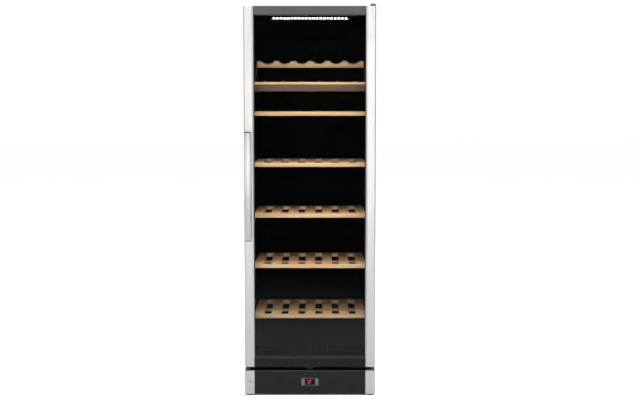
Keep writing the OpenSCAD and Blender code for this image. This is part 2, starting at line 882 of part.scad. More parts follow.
module door_glass_inner() {
    y1 = glass_y + unit_t;
    color("#5c6668", 0.3) box([-pane_w, y1 - glass_t, pane_z0], [pane_w, y1, pane_z1]);
}

module glass_spacer() {
    w = bite + 3;
    color("#1b1c1e") frame_ring(pane_w, pane_z0, pane_z1, pane_w - w, pane_z0 + w, pane_z1 - w,
        glass_y + glass_t, glass_y + unit_t - glass_t);
}

// Magnetic gasket: a foot on the door's back and a bulb that meets the cabinet's flange
module door_gasket() {
    z0 = plinth_h + 23;
    z1 = in_top + 23;
    w = half_w - 17.5;
    color("#0d0e0f") union() {
        frame_ring(w, z0, z1, w - 14, z0 + 14, z1 - 14, y_door_back, y_door_back + 4);
        frame_ring(w - 1, z0 + 1, z1 - 1, w - 13, z0 + 13, z1 - 13, y_door_back + 3.5, y_cab - 0.3);
    }
}

// Plugs in the ends of both profiles: the right ones turn on the hinge pins, and the lower left one
// has the slot for the lock's bolt
module door_corner_plugs() {
    x0 = clear_w + bite + 2.8;
    x1 = half_w - 2.5;
    y0 = y_door + 2.5;
    y1 = y_door_back - 2.5;
    plug_h = 26;
    color("#2f3133") difference() {
        both_sides() {
            for (z = [door_z0, door_z1 - plug_h]) {
                box([x0, y0, z], [x1, y1, z + plug_h]);
            }
        }
        rod_z(pin_r + running, hinge_x, hinge_y, door_z0 - 1, door_z1 + 1);
        box([bolt_x - 5.8, bolt_y - 3.1, door_z0 - 1], [bolt_x + 5.8, bolt_y + 3.1, door_z0 + plug_h + 1]);
    }
}

handle_x0 = -half_w + 2.7;
handle_x1 = handle_x0 + handle_w;
handle_t = 16;
handle_crown = 9; // how far the face bulges between its two edges
cap_t = 3;

// Section of the handle as [x, y]: crowned face, flat back
function handle_section(inset, steps) = concat(
    [for (i = [0:steps]) let (u = i / steps) [handle_x0 + inset + u * (handle_w - 2 * inset),
        y_handle + inset + handle_crown * pow(2 * u - 1, 2)]],
    [[handle_x1 - inset, y_handle + handle_t - 2], [handle_x1 - 2, y_handle + handle_t - inset],
    [handle_x0 + 2, y_handle + handle_t - inset], [handle_x0 + inset, y_handle + handle_t - 2]]);

module handle_bar() {
    y1 = y_handle + handle_t;
    color("#c9cbcd") difference() {
        prism_z(handle_section(0, 16), handle_z0 + cap_t, handle_z0 + handle_len - cap_t);
        // channel along the back of the extrusion, between the posts
        box([handle_x0 + 5, y1 - 3, handle_z0 + 30], [handle_x1 - 5, y1 + 1, handle_z0 + handle_len - 30]);
    }
}

// Two posts that hold the bar off the door, and the bar's end caps
module handle_fittings() {
    x = handle_x0 + handle_w / 2;
    post = 15; // from the bar's end to the post's axis
    color("#8f9294") {
        for (z = [handle_z0 + post, handle_z0 + handle_len - post]) {
            rod_y(7, x, z, y_handle + handle_t, y_door);
        }
        for (z = [handle_z0, handle_z0 + handle_len - cap_t]) {
            prism_z(handle_section(0.4, 16), z, z + cap_t);
        }
    }
}

// ---- Shelves ----

// Slatted wooden shelf, its underside at z: front and rear rails, seven slats and a cross bar
module wooden_shelf(z) {
    y0 = shelf_y0 + rail_d;
    y1 = shelf_y1 - rail_d;
    color("#d9b183") {
        box([-shelf_w, shelf_y0, z], [shelf_w, y0, z + shelf_h]);
        box([-shelf_w, y1, z], [shelf_w, shelf_y1, z + shelf_h]);
        box([-shelf_w, -20, z], [shelf_w, 20, z + shelf_h - slat_t]);
        for (i = [-2:2]) {
            box([i * lane_pitch - slat_w / 2, y0, z + shelf_h - slat_t],
                [i * lane_pitch + slat_w / 2, y1, z + shelf_h]);
        }
        both_sides() box([3 * lane_pitch - slat_w / 2, y0, z + shelf_h - slat_t],
            [shelf_w, y1, z + shelf_h]);
    }
}

module shelf_1() {
    wooden_shelf(shelf_z(1));
}

module shelf_2() {
    wooden_shelf(shelf_z(2));
}

module shelf_3() {
    wooden_shelf(shelf_z(3));
}

module shelf_4() {
    wooden_shelf(shelf_z(4));
}

module shelf_5() {
    wooden_shelf(shelf_z(5));
}

// Puts its children on the display shelf's slope: Y up the slope, Z square to it
module on_slope() {
    translate([0, display_y0, display_z0]) rotate([display_tilt, 0, 0]) children();
}

display_w = shelf_w - 4;
board_h = 38;
cradle_u = [22, 262]; // places of the two scalloped rails up the slope
cradle_h = [26, 32]; // and the heights of their crests

module display_shelf() {
    color("#d9b183") on_slope() {
        box([-shelf_w, 0, 0], [shelf_w, rail_d, board_h]);
        for (i = [0:lanes - 1]) {
            translate([(i - (lanes - 1) / 2) * display_lane, 8, board_h]) cylinder(r = 3, h = 10);
        }
        for (k = [0, 1]) {
            difference() {
                box([-display_w, cradle_u[k], 4], [display_w, cradle_u[k] + rail_d, cradle_h[k]]);
                for (i = [0:lanes - 1]) {
                    rod_y(39, (i - (lanes - 1) / 2) * display_lane, cradle_h[k] + 24,
                        cradle_u[k] - 1, cradle_u[k] + rail_d + 1);
                }
            }
        }
    }
}

// Point of the YZ plane at u up the display shelf's slope and w square to it
function on_slope_yz(u, w) = [display_y0 + u * cos(display_tilt) - w * sin(display_tilt),
    display_z0 + u * sin(display_tilt) + w * cos(display_tilt)];

// Pressed steel side brackets that stand on the liner's ledges and carry the tilted rails
module display_brackets() {
    t = 2;
    web = 12;
    u0 = rail_d + 0.1;
    u1 = cradle_u[1] + rail_d + web;
    z0 = display_z0;
    foot = on_slope_yz(u0, 0);
    heel = on_slope_yz(u1, 32);
    cut0 = on_slope_yz(u0 + web, 4);
    cut1 = on_slope_yz(u1 - 2 * web, 4);
    color("#1a1b1c") both_sides() difference() {
        prism_x([[foot[0], z0], [heel[0], z0], heel, on_slope_yz(u0, 32), foot],
            display_w, display_w + t);
        prism_x([[cut0[0], z0 + web], [cut1[0], z0 + web], cut1, cut0],
            display_w - 1, display_w + t + 1);
    }
}

// ---- Model ----

side_panel_left();
side_panel_right();
top_panel();
back_panel();
underside_panel();
insulation_foam();
inner_liner();
light_housing();
led_board();
light_lens();
air_duct_cover();
evaporator();
fan_frame();
fan_rotor();
temperature_probe();
bottom_rack();
compressor();
compressor_mounts();
condenser_coil();
condenser_wires();
condenser_clips();
drip_tray();
refrigerant_lines();
mains_inlet();
base_frame();
plinth_panel();
plinth_cap_left();
plinth_cap_right();
control_bezel();
control_display();
control_board();
button_left();
button_right();
lock_housing();
lock_cylinder();
lock_bolt();
front_foot_left();
front_foot_right();
rear_rollers();
hinge_bracket_top();
hinge_cover_top();
hinge_bracket_bottom();
door_profile_left();
door_profile_right();
door_rail_top();
door_rail_bottom();
door_glass_outer();
door_glass_inner();
glass_spacer();
door_gasket();
door_corner_plugs();
handle_bar();
handle_fittings();
display_shelf();
display_brackets();
shelf_1();
shelf_2();
shelf_3();
shelf_4();
shelf_5();
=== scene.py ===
import json
import math

import bmesh
import bpy
from mathutils import Matrix, Vector

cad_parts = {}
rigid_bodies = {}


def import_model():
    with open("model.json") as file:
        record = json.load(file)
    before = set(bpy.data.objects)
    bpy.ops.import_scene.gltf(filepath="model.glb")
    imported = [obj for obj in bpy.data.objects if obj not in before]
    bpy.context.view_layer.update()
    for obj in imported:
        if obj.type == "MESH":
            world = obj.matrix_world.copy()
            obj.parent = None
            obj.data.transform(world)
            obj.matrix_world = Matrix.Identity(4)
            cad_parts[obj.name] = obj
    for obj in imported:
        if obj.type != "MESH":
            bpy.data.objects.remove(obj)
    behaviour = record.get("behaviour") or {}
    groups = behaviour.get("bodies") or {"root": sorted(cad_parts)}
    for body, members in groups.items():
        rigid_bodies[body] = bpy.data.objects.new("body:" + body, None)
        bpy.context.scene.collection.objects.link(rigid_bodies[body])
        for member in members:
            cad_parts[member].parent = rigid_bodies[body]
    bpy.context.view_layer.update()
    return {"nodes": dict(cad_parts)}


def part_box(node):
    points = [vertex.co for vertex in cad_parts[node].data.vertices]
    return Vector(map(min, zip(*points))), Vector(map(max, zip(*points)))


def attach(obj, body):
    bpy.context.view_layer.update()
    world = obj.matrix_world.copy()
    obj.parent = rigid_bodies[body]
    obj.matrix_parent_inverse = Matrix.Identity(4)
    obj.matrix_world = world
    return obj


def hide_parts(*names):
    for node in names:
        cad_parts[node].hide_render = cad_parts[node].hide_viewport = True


# Wine cooler: looks, fine pieces, floor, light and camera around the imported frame. All sizes are in metres.

for leftover in list(bpy.data.objects):
    bpy.data.objects.remove(leftover)

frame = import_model()
nodes = frame["nodes"]


def low(node):
    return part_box(node)[0]


def high(node):
    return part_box(node)[1]


MM = 0.001
door_front = low("door_profile_left").y

# ---------------------------------------------------------------------------------------------------------
# Materials
# ---------------------------------------------------------------------------------------------------------

# Over the door's glass, the painted shade and the stronger mirroring are full up to the first height and gone
# from the second one up
LOW_SHADE_FULL = 280 * MM
LOW_SHADE_END = 560 * MM


class Finish:
    """A Principled material with short ways to add procedural detail, in metres of the shared frame.
    Sockets are given by their names, with _ for each space."""

    def __init__(self, name, color, roughness, metallic=0.0, **sockets):
        self.material = bpy.data.materials.new(name)
        self.material.use_nodes = True
        self.tree = self.material.node_tree
        self.shader = self.tree.nodes["Principled BSDF"]
        self.color = color
        self.set("Base Color", (*color, 1.0))
        self.set("Roughness", roughness)
        self.set("Metallic", metallic)
        for socket, value in sockets.items():
            self.set(socket.replace("_", " "), value)

    def set(self, socket, value):
        self.shader.inputs[socket].default_value = value

    def link(self, output, socket):
        self.tree.links.new(output, self.shader.inputs[socket])

    def place(self, stretch=(1, 1, 1)):
        """Object coordinates, with features stretched along each axis by that much."""
        coordinates = self.tree.nodes.new("ShaderNodeTexCoord")
        mapping = self.tree.nodes.new("ShaderNodeMapping")
        mapping.inputs["Scale"].default_value = [1 / s for s in stretch]
        self.tree.links.new(coordinates.outputs["Object"], mapping.inputs["Vector"])
        return mapping.outputs["Vector"]

    def noise(self, size, stretch=(1, 1, 1), detail=3.0, distortion=0.0):
        """Noise with features about that size, as a number around 0.5."""
        made = self.tree.nodes.new("ShaderNodeTexNoise")
        made.inputs["Scale"].default_value = 1 / size
        made.inputs["Detail"].default_value = detail
        made.inputs["Distortion"].default_value = distortion
        self.tree.links.new(self.place(stretch), made.inputs["Vector"])
        return made.outputs["Fac"]

    def cells(self, size, stretch=(1, 1, 1)):
        """Random grey for each cell of about that size."""
        made = self.tree.nodes.new("ShaderNodeTexVoronoi")
        made.inputs["Scale"].default_value = 1 / size
        self.tree.links.new(self.place(stretch), made.inputs["Vector"])
        split = self.tree.nodes.new("ShaderNodeSeparateColor")
        self.tree.links.new(made.outputs["Color"], split.inputs["Color"])
        return split.outputs["Red"]

    def waves(self, size, axis):
        """Bands of that width across one axis."""
        made = self.tree.nodes.new("ShaderNodeTexWave")
        made.bands_direction = axis
        made.inputs["Scale"].default_value = 1 / (size * 20 / (2 * math.pi))
        self.tree.links.new(self.place(), made.inputs["Vector"])
        return made.outputs["Fac"]

    def height(self):
        """Height above the ground in metres."""
        coordinates = self.tree.nodes.new("ShaderNodeTexCoord")
        split = self.tree.nodes.new("ShaderNodeSeparateXYZ")
        self.tree.links.new(coordinates.outputs["Object"], split.inputs["Vector"])
        return split.outputs["Z"]

    def tone(self):
        """The brightness number that each face of a built piece carries."""
        made = self.tree.nodes.new("ShaderNodeAttribute")
        made.attribute_name = "tone"
        return made.outputs["Fac"]

    def span(self, value, at_low, at_high, start=0.35, end=0.65):
        """Maps a value from start..end to at_low..at_high."""
        made = self.tree.nodes.new("ShaderNodeMapRange")
        made.inputs["From Min"].default_value = start
        made.inputs["From Max"].default_value = end
        made.inputs["To Min"].default_value = at_low
        made.inputs["To Max"].default_value = at_high
        self.tree.links.new(value, made.inputs["Value"])
        return made.outputs["Result"]

    def times(self, a, b):
        made = self.tree.nodes.new("ShaderNodeMath")
        made.operation = "MULTIPLY"
        self.tree.links.new(a, made.inputs[0])
        self.tree.links.new(b, made.inputs[1])
        return made.outputs["Value"]

    def mix(self, factor, a, b):
        """Colour a where factor is 0 and colour b where it is 1; a may be an earlier mix."""
        made = self.tree.nodes.new("ShaderNodeMix")
        made.data_type = "RGBA"
        self.tree.links.new(factor, made.inputs["Factor"])
        for value, socket in ((a, made.inputs["A"]), (b, made.inputs["B"])):
            if isinstance(value, bpy.types.NodeSocket):
                self.tree.links.new(value, socket)
            else:
                socket.default_value = (*value, 1.0)
        return made.outputs["Result"]

    def shade(self, factor, dark, bright):
        """The finish's own colour from dark to bright times its brightness, as factor goes from 0 to 1."""
        return self.mix(factor, [c * dark for c in self.color], [c * bright for c in self.color])

    def bump(self, height, depth, under=None):
        made = self.tree.nodes.new("ShaderNodeBump")
        made.inputs["Strength"].default_value = 1.0
        made.inputs["Distance"].default_value = depth
        self.tree.links.new(height, made.inputs["Height"])
        if under is not None:
            self.tree.links.new(under, made.inputs["Normal"])
        return made.outputs["Normal"]


def anodised(name, color, roughness):
    """Satin anodised aluminium with fine die lines along Z."""
    made = Finish(name, color, roughness, metallic=1.0)
    lines = made.noise(0.7 * MM, (1, 1, 400), detail=2.0)
    cloud = made.noise(60 * MM, (1, 1, 4))
    made.link(made.span(lines, roughness - 0.05, roughness + 0.07), "Roughness")
    made.link(made.shade(made.span(cloud, 0.0, 1.0), 0.95, 1.03), "Base Color")
    made.link(made.bump(lines, 0.004 * MM), "Normal")
    return made.material


def powder_coat(name, color, roughness, peel=1.6 * MM, specular=0.5):
    """Paint on sheet metal: orange peel, slight clouds and a little dust."""
    made = Finish(name, color, roughness, Specular_IOR_Level=specular)
    skin = made.noise(peel, detail=1.0)
    cloud = made.noise(90 * MM)
    made.link(made.span(cloud, roughness - 0.05, roughness + 0.08), "Roughness")
    made.link(made.shade(made.span(cloud, 0.0, 1.0), 0.88, 1.12), "Base Color")
    made.link(made.bump(skin, 0.03 * MM), "Normal")
    return made.material


def zinc_sheet(name, color):
    """Galvanised sheet with its spangle."""
    made = Finish(name, color, 0.42, metallic=0.85)
    spangle = made.cells(9 * MM)
    streak = made.noise(120 * MM, (1, 1, 3))
    both = made.times(made.span(spangle, 0.75, 1.0, 0.0, 1.0), made.span(streak, 0.85, 1.0))
    made.link(made.shade(both, 0.55, 1.15), "Base Color")
    made.link(made.span(spangle, 0.34, 0.52, 0.0, 1.0), "Roughness")
    made.link(made.bump(made.noise(3 * MM), 0.02 * MM), "Normal")
    return made.material


def moulded_plastic(name, color, roughness, grain=0.8 * MM, specular=0.4):
    """Moulded plastic with a fine spark-eroded grain."""
    made = Finish(name, color, roughness, Specular_IOR_Level=specular)
    grit = made.noise(grain, detail=2.0)
    cloud = made.noise(45 * MM)
    made.link(made.span(grit, roughness - 0.06, roughness + 0.06), "Roughness")
    made.link(made.shade(made.span(cloud, 0.0, 1.0), 0.9, 1.1), "Base Color")
    made.link(made.bump(grit, 0.04 * MM), "Normal")
    return made.material


def rubber_compound(name, color):
    made = Finish(name, color, 0.72, Specular_IOR_Level=0.3)
    bloom = made.noise(18 * MM, detail=5.0)
    made.link(made.shade(made.span(bloom, 0.0, 1.0), 0.8, 1.5), "Base Color")
    made.link(made.span(bloom, 0.62, 0.82), "Roughness")
    made.link(made.bump(made.noise(0.9 * MM), 0.05 * MM), "Normal")
    return made.material


def drawn_copper(name, color):
    """Copper tube with brown tarnish."""
    made = Finish(name, color, 0.3, metallic=1.0)
    tarnish = made.noise(22 * MM, detail=5.0, distortion=0.6)
    made.link(made.mix(made.span(tarnish, 0.0, 1.0), color, [0.28 * c for c in color]), "Base Color")
    made.link(made.span(tarnish, 0.24, 0.5), "Roughness")
    made.link(made.bump(made.noise(1.4 * MM), 0.02 * MM), "Normal")
    return made.material


def plated(name, color, roughness):
    """Nickel or zinc plating with light handling wear."""
    made = Finish(name, color, roughness, metallic=1.0)
    wear = made.noise(5 * MM, detail=6.0)
    made.link(made.span(wear, roughness - 0.08, roughness + 0.14), "Roughness")
    made.link(made.shade(made.span(wear, 0.0, 1.0), 0.82, 1.06), "Base Color")
    made.link(made.bump(made.noise(0.6 * MM), 0.006 * MM), "Normal")
    return made.material


def finned_aluminium(name, color):
    """Evaporator fin block: thin bright fin edges side by side, with painted shade darkening the gaps between
    them.
    """
    made = Finish(name, color, 0.38, metallic=0.9)
    fin_edges_and_gap_shade = made.waves(1.8 * MM, "X")
    made.link(made.shade(made.span(fin_edges_and_gap_shade, 0.0, 1.0, 0.0, 1.0), 0.35, 1.0), "Base Color")
    made.link(made.span(made.noise(12 * MM), 0.3, 0.5), "Roughness")
    made.link(made.bump(fin_edges_and_gap_shade, 0.3 * MM), "Normal")
    return made.material


def rigid_foam(name, color):
    made = Finish(name, color, 0.9)
    pores_and_pit_shade = made.noise(1.5 * MM, detail=4.0)
    # Each pore's hollow is darker: painted shade.
    made.link(made.shade(made.span(pores_and_pit_shade, 0.0, 1.0), 0.75, 1.05), "Base Color")
    made.link(made.bump(pores_and_pit_shade, 0.5 * MM), "Normal")
    return made.material


def circuit_board(name, color, traces):
    """Solder mask with lighter traces under it."""
    made = Finish(name, color, 0.35)
    net = made.cells(3 * MM, (2.5, 1, 1))
    made.link(made.mix(made.span(net, 0.0, 1.0, 0.55, 0.6), color, traces), "Base Color")
    made.link(made.span(net, 0.3, 0.42, 0.0, 1.0), "Roughness")
    made.link(made.bump(net, 0.03 * MM), "Normal")
    return made.material


def oiled_wood(name, along, depth=1.0):
    """Straight-grained oiled beech: growth bands, pore dashes and flecks along one axis."""
    pale = (0.81 * depth, 0.565 * depth, 0.33 * depth)
    deep = (0.58 * depth, 0.345 * depth, 0.167 * depth)
    pore = (0.36 * depth, 0.20 * depth, 0.10 * depth)
    made = Finish(name, pale, 0.5, Specular_IOR_Level=0.35)
    stretch = [40 if axis == along else 1 for axis in "XYZ"]
    short = [12 if axis == along else 1 for axis in "XYZ"]
    bands = made.noise(7 * MM, stretch, detail=4.0, distortion=0.25)
    dashes = made.noise(0.8 * MM, short, detail=2.0)
    board = made.span(made.tone(), 0.0, 0.55, 0.0, 1.0)
    ground = made.mix(made.span(bands, 0.0, 0.8), pale, deep)
    by_board = made.mix(board, ground, deep)
    full = made.mix(made.span(dashes, 0.0, 0.55, 0.6, 0.75), by_board, pore)
    made.link(full, "Base Color")
    made.link(made.span(bands, 0.42, 0.6), "Roughness")
    made.link(made.bump(dashes, 0.05 * MM, made.bump(bands, 0.08 * MM)), "Normal")
    return made.material


def pane_glass(name, color, cover, specular, low_shade_cover=None, low_specular=None):
    """Flat glass seen through: cover is how much of what is behind it the tint takes away. The low figures
    hold towards the bottom edge, where the pane darkens what is behind it more, a painted shade over the
    lower inside, and mirrors more of the floor."""
    made = Finish(name, color, 0.02, Alpha=cover, Specular_IOR_Level=specular)
    smear = made.noise(150 * MM, (1, 1, 2), detail=4.0)
    if low_shade_cover is not None:
        # Towards the bottom edge the pane darkens what is behind it more: painted shade.
        height = made.height()
        made.link(made.span(height, low_shade_cover, cover, LOW_SHADE_FULL, LOW_SHADE_END), "Alpha")
        made.link(made.span(height, low_specular, specular, LOW_SHADE_FULL, LOW_SHADE_END), "Specular IOR Level")
    made.link(made.span(smear, 0.01, 0.06), "Roughness")
    made.link(made.shade(made.span(smear, 0.0, 1.0), 0.8, 1.2), "Base Color")
    made.link(made.bump(made.noise(200 * MM, detail=1.0), 0.01 * MM), "Normal")
    return made.material


def frosted_lens(name):
    made = Finish(name, (0.25, 0.32, 0.31), 0.25, Alpha=0.10)
    ribs_and_groove_shade = made.waves(2.0 * MM, "X")
    # The grooves between the ribs are darker: painted shade.
    made.link(made.shade(made.span(ribs_and_groove_shade, 0.0, 1.0, 0.0, 1.0), 0.85, 1.0), "Base Color")
    made.link(made.span(ribs_and_groove_shade, 0.2, 0.35, 0.0, 1.0), "Roughness")
    made.link(made.bump(ribs_and_groove_shade, 0.15 * MM), "Normal")
    return made.material


def glowing(name, color, strength, dim=0.8, specular=0.5):
    """A lit surface with a slightly uneven glow."""
    made = Finish(name, color, 0.4, Emission_Strength=strength, Specular_IOR_Level=specular)
    uneven = made.noise(4 * MM)
    made.link(made.shade(made.span(uneven, 0.0, 1.0), dim, 1.0), "Emission Color")
    made.link(made.span(uneven, 0.35, 0.45), "Roughness")
    return made.material


TINT = (0.001, 0.0012, 0.0012)

cabinet_paint = powder_coat("cabinet_paint", (0.035, 0.036, 0.038), 0.42)
rail_paint_upper = powder_coat(
    "rail_paint_upper", (0.034, 0.0355, 0.037), 0.36, peel=2.5 * MM, specular=0.09
)
rail_paint_lower = powder_coat(
    "rail_paint_lower", (0.004, 0.004, 0.0045), 0.34, peel=2.5 * MM, specular=0.065
)
black_enamel = powder_coat("black_enamel", (0.018, 0.018, 0.02), 0.35)
rack_enamel = powder_coat("rack_enamel", (0.006, 0.006, 0.0065), 0.5, specular=0.08)
back_zinc = zinc_sheet("back_zinc", (0.46, 0.47, 0.48))
profile_metal = anodised("profile_metal", (0.243, 0.242, 0.240), 0.30)
handle_metal = anodised("handle_metal", (0.255, 0.255, 0.255), 0.32)
cap_metal = anodised("cap_metal", (0.25, 0.25, 0.245), 0.34)
fitting_metal = anodised("fitting_metal", (0.012, 0.0125, 0.013), 0.40)
liner_plastic = moulded_plastic("liner_plastic", (0.0009, 0.0009, 0.001), 0.65, specular=0.02)
trim_plastic = moulded_plastic("trim_plastic", (0.014, 0.014, 0.015), 0.5)
fan_plastic = moulded_plastic("fan_plastic", (0.004, 0.004, 0.0045), 0.5, specular=0.05)
plinth_plastic = moulded_plastic(
    "plinth_plastic", (0.0055, 0.0059, 0.0067), 0.4, grain=1.2 * MM, specular=0.065
)
screw_cap = moulded_plastic("screw_cap", (0.34, 0.34, 0.34), 0.5)
button_plastic = moulded_plastic("button_plastic", (0.06, 0.06, 0.063), 0.42, specular=0.3)
bezel_plastic = moulded_plastic("bezel_plastic", (0.014, 0.014, 0.015), 0.35, specular=0.25)
window_plastic = moulded_plastic(
    "window_plastic", (0.004, 0.003, 0.003), 0.2, grain=3 * MM, specular=0.04
)
black_rubber = rubber_compound("black_rubber", (0.014, 0.014, 0.015))
copper = drawn_copper("copper", (0.80, 0.42, 0.24))
lock_nickel = plated("lock_nickel", (0.24, 0.24, 0.235), 0.34)
lock_ring = plated("lock_ring", (0.28, 0.28, 0.275), 0.4)
hinge_zinc = plated("hinge_zinc", (0.50, 0.51, 0.52), 0.34)
screw_zinc = plated("screw_zinc", (0.58, 0.58, 0.58), 0.3)
dark_screw = plated("dark_screw", (0.05, 0.05, 0.055), 0.4)
coil_aluminium = finned_aluminium("coil_aluminium", (0.72, 0.73, 0.74))
foam = rigid_foam("foam", (0.80, 0.74, 0.48))
light_board = circuit_board("light_board", (0.20, 0.28, 0.26), (0.28, 0.36, 0.33))
green_board = circuit_board("green_board", (0.02, 0.10, 0.05), (0.05, 0.20, 0.10))
wood_across = oiled_wood("wood_across", "X")
wood_deep = oiled_wood("wood_deep", "Y")
# The display board's face takes wood darkened to about a quarter: painted shade for a face tilted down away
# from the light above. Its top edge strip takes wood near the plain tone.
wood_painted_shade = oiled_wood("wood_painted_shade", "X", 0.24)
wood_top_edge = oiled_wood("wood_top_edge", "X", 0.82)
# The smoked pane darkens the lower inside more than the rest: painted shade over the lower inside.
smoked_glass = pane_glass("smoked_glass", TINT, 0.14, 0.004, low_shade_cover=0.26, low_specular=0.28)
clear_glass = pane_glass("clear_glass", TINT, 0.04, 0.004)
lens = frosted_lens("lens")
light_point = glowing("light_point", (0.93, 1.0, 0.97), 7.0)
light_fringe = glowing("light_fringe", (0.12, 0.46, 0.35), 0.6)
red_segment = glowing("red_segment", (0.55, 0.05, 0.13), 0.34, specular=0.1)
# A faint red glow on a thin sheet over each digit: painted light spilling from the lit segments into the
# window.
red_glow_spill = glowing("red_glow_spill", (0.03, 0.001, 0.004), 0.12, specular=0.03)

# ---------------------------------------------------------------------------------------------------------
# Mesh building
# ---------------------------------------------------------------------------------------------------------


class Piece:
    """One visible piece, gathered from rounded solids in the shared frame."""

    def __init__(self, *materials):
        self.materials = materials
        self.mesh = bmesh.new()
        self.mesh.faces.layers.float.new("tone")

    def add(self, part, material=None, tone=0.5, turn=None):
        """Takes in a solid, with its material, its faces' tone, and a matrix that puts it in place."""
        if turn is not None:
            bmesh.ops.transform(part, matrix=turn, verts=part.verts)
        layer = part.faces.layers.float.new("tone")
        for face in part.faces:
            face.material_index = 0 if material is None else self.materials.index(material)
            face.smooth = True
            face[layer] = tone
        bmesh.ops.recalc_face_normals(part, faces=part.faces)
        moved = bpy.data.meshes.new("part")
        part.to_mesh(moved)
        part.free()
        self.mesh.from_mesh(moved)
        bpy.data.meshes.remove(moved)

    def finish(self, name, body, slot, *replaced, sharp=32):
        made = bpy.data.meshes.new(name)
        self.mesh.to_mesh(made)
        self.mesh.free()
        for material in self.materials:
            made.materials.append(material)
        made.set_sharp_from_angle(angle=math.radians(sharp))
        piece = bpy.data.objects.new(name, made)
        bpy.context.scene.collection.objects.link(piece)
        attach(piece, body)
        if replaced:
            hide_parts(*replaced)


def soften(part, radius, angle=30, steps=2):
    """Rounds every edge of a solid that turns by more than the angle."""
    edges = [
        e
        for e in part.edges
        if len(e.link_faces) == 2 and e.calc_face_angle(0) > math.radians(angle)
    ]
    bmesh.ops.bevel(
        part, geom=edges, offset=radius, segments=steps, profile=0.5, affect="EDGES", clamp_overlap=True
    )


def block(corner, opposite, radius=0.8 * MM, steps=2):
    """Box between two corners, with rounded edges."""
    part = bmesh.new()
    corner = Vector(corner)
    opposite = Vector(opposite)
    middle = (corner + opposite) / 2
    size = opposite - corner
    matrix = Matrix.Translation(middle) @ Matrix.Diagonal((*[abs(s) for s in size], 1))
    bmesh.ops.create_cube(part, size=1, matrix=matrix)
    soften(part, radius, steps=steps)
    return part


def axis_frame(axis):
    """Rotation that takes X, Y and Z to the two directions across an axis and the axis itself."""
    columns = {
        "X": ((0, 1, 0), (0, 0, 1), (1, 0, 0)),
        "Y": ((1, 0, 0), (0, 0, 1), (0, 1, 0)),
        "Z": ((1, 0, 0), (0, 1, 0), (0, 0, 1)),
    }[axis]
    return Matrix([[c[row] for c in columns] for row in range(3)]).to_4x4()


def outline(points, axis, start, end, radius=0.0, angle=30):
    """Solid from an outline across an axis, between two places along it. Points are (X, Y) across Z,
    (X, Z) across Y and (Y, Z) across X."""
    part = bmesh.new()
    near = [part.verts.new((u, v, start)) for u, v in points]
    far = [part.verts.new((u, v, end)) for u, v in points]
    count = len(points)
    part.faces.new(near)
    part.faces.new(far)
    for i in range(count):
        part.faces.new((near[i], near[(i + 1) % count], far[(i + 1) % count], far[i]))
    bmesh.ops.transform(part, matrix=axis_frame(axis), verts=part.verts)
    bmesh.ops.recalc_face_normals(part, faces=part.faces)
    if radius:
        soften(part, radius, angle)
    return part


def turned(profile, place, steps=24):
    """Solid of revolution about Z: (radius, height) points, closed on the axis."""
    part = bmesh.new()
    rings = []
    for radius, along in profile:
        if radius == 0:
            rings.append([part.verts.new((0, 0, along))])
            continue
        ring = []
        for i in range(steps):
            angle = 2 * math.pi * i / steps
            ring.append(part.verts.new((radius * math.cos(angle), radius * math.sin(angle), along)))
        rings.append(ring)
    for a, b in zip(rings, rings[1:]):
        for i in range(steps):
            j = (i + 1) % steps
            corners = [a[i % len(a)], a[j % len(a)], b[j % len(b)], b[i % len(b)]]
            corners = [v for k, v in enumerate(corners) if v not in corners[:k]]
            if len(corners) > 2:
                part.faces.new(corners)
    for ring in (rings[0], rings[-1]):
        if len(ring) > 1:
            part.faces.new(ring)
    bmesh.ops.transform(part, matrix=Matrix.Translation(place), verts=part.verts)
    return part


LEG_SHARE = 0.48


def rounded_route(points, bend, steps=6):
    """The route through the points, its corners turned into arcs of that radius, or less on short legs."""
    points = [Vector(p) for p in points]
    route = [points[0]]
    for before, corner, after in zip(points, points[1:], points[2:]):
        come = (corner - before).normalized()
        go = (after - corner).normalized()
        turn = come.angle(go)
        reach = bend * math.tan(turn / 2)
        reach = min(reach, LEG_SHARE * (corner - before).length, LEG_SHARE * (after - corner).length)
        radius = reach / math.tan(turn / 2)
        inward = (go - come).normalized()
        middle = corner + inward * (radius / math.cos(turn / 2))
        first = corner - come * reach - middle
        pivot = come.cross(go).normalized()
        for i in range(steps + 1):
            route.append(middle + Matrix.Rotation(turn * i / steps, 3, pivot) @ first)
    route.append(points[-1])
    return route


def tube(points, radius, bend, steps=12):
    """Round tube along the points, with bends of that radius."""
    route = rounded_route(points, bend)
    part = bmesh.new()
    rings = []
    side = None
    for i, point in enumerate(route):
        ahead = route[min(i + 1, len(route) - 1)] - route[max(i - 1, 0)]
        ahead.normalize()
        if side is None:
            side = ahead.orthogonal().normalized()
        side = (side - ahead * side.dot(ahead)).normalized()
        other = ahead.cross(side)
        ring = []
        for k in range(steps):
            angle = 2 * math.pi * k / steps
            outward = side * radius * math.cos(angle) + other * radius * math.sin(angle)
            ring.append(part.verts.new(point + outward))
        rings.append(ring)
    for a, b in zip(rings, rings[1:]):
        for k in range(steps):
            part.faces.new((a[k], a[(k + 1) % steps], b[(k + 1) % steps], b[k]))
    part.faces.new(rings[0])
    part.faces.new(rings[-1])
    return part


def frame_sweep(section, half_w, bottom, top):
    """Section of (inset from the outer edge, Y) points swept round an upright, mitred rectangle."""
    part = bmesh.new()
    rings = []
    for side_x, side_z in ((-1, -1), (1, -1), (1, 1), (-1, 1)):
        ring = []
        for inset, y in section:
            x = side_x * (half_w - inset)
            z = bottom + inset if side_z < 0 else top - inset
            ring.append(part.verts.new((x, y, z)))
        rings.append(ring)
    count = len(section)
    for r in range(4):
        a = rings[r]
        b = rings[(r + 1) % 4]
        for k in range(count):
            part.faces.new((a[k], a[(k + 1) % count], b[(k + 1) % count], b[k]))
    return part


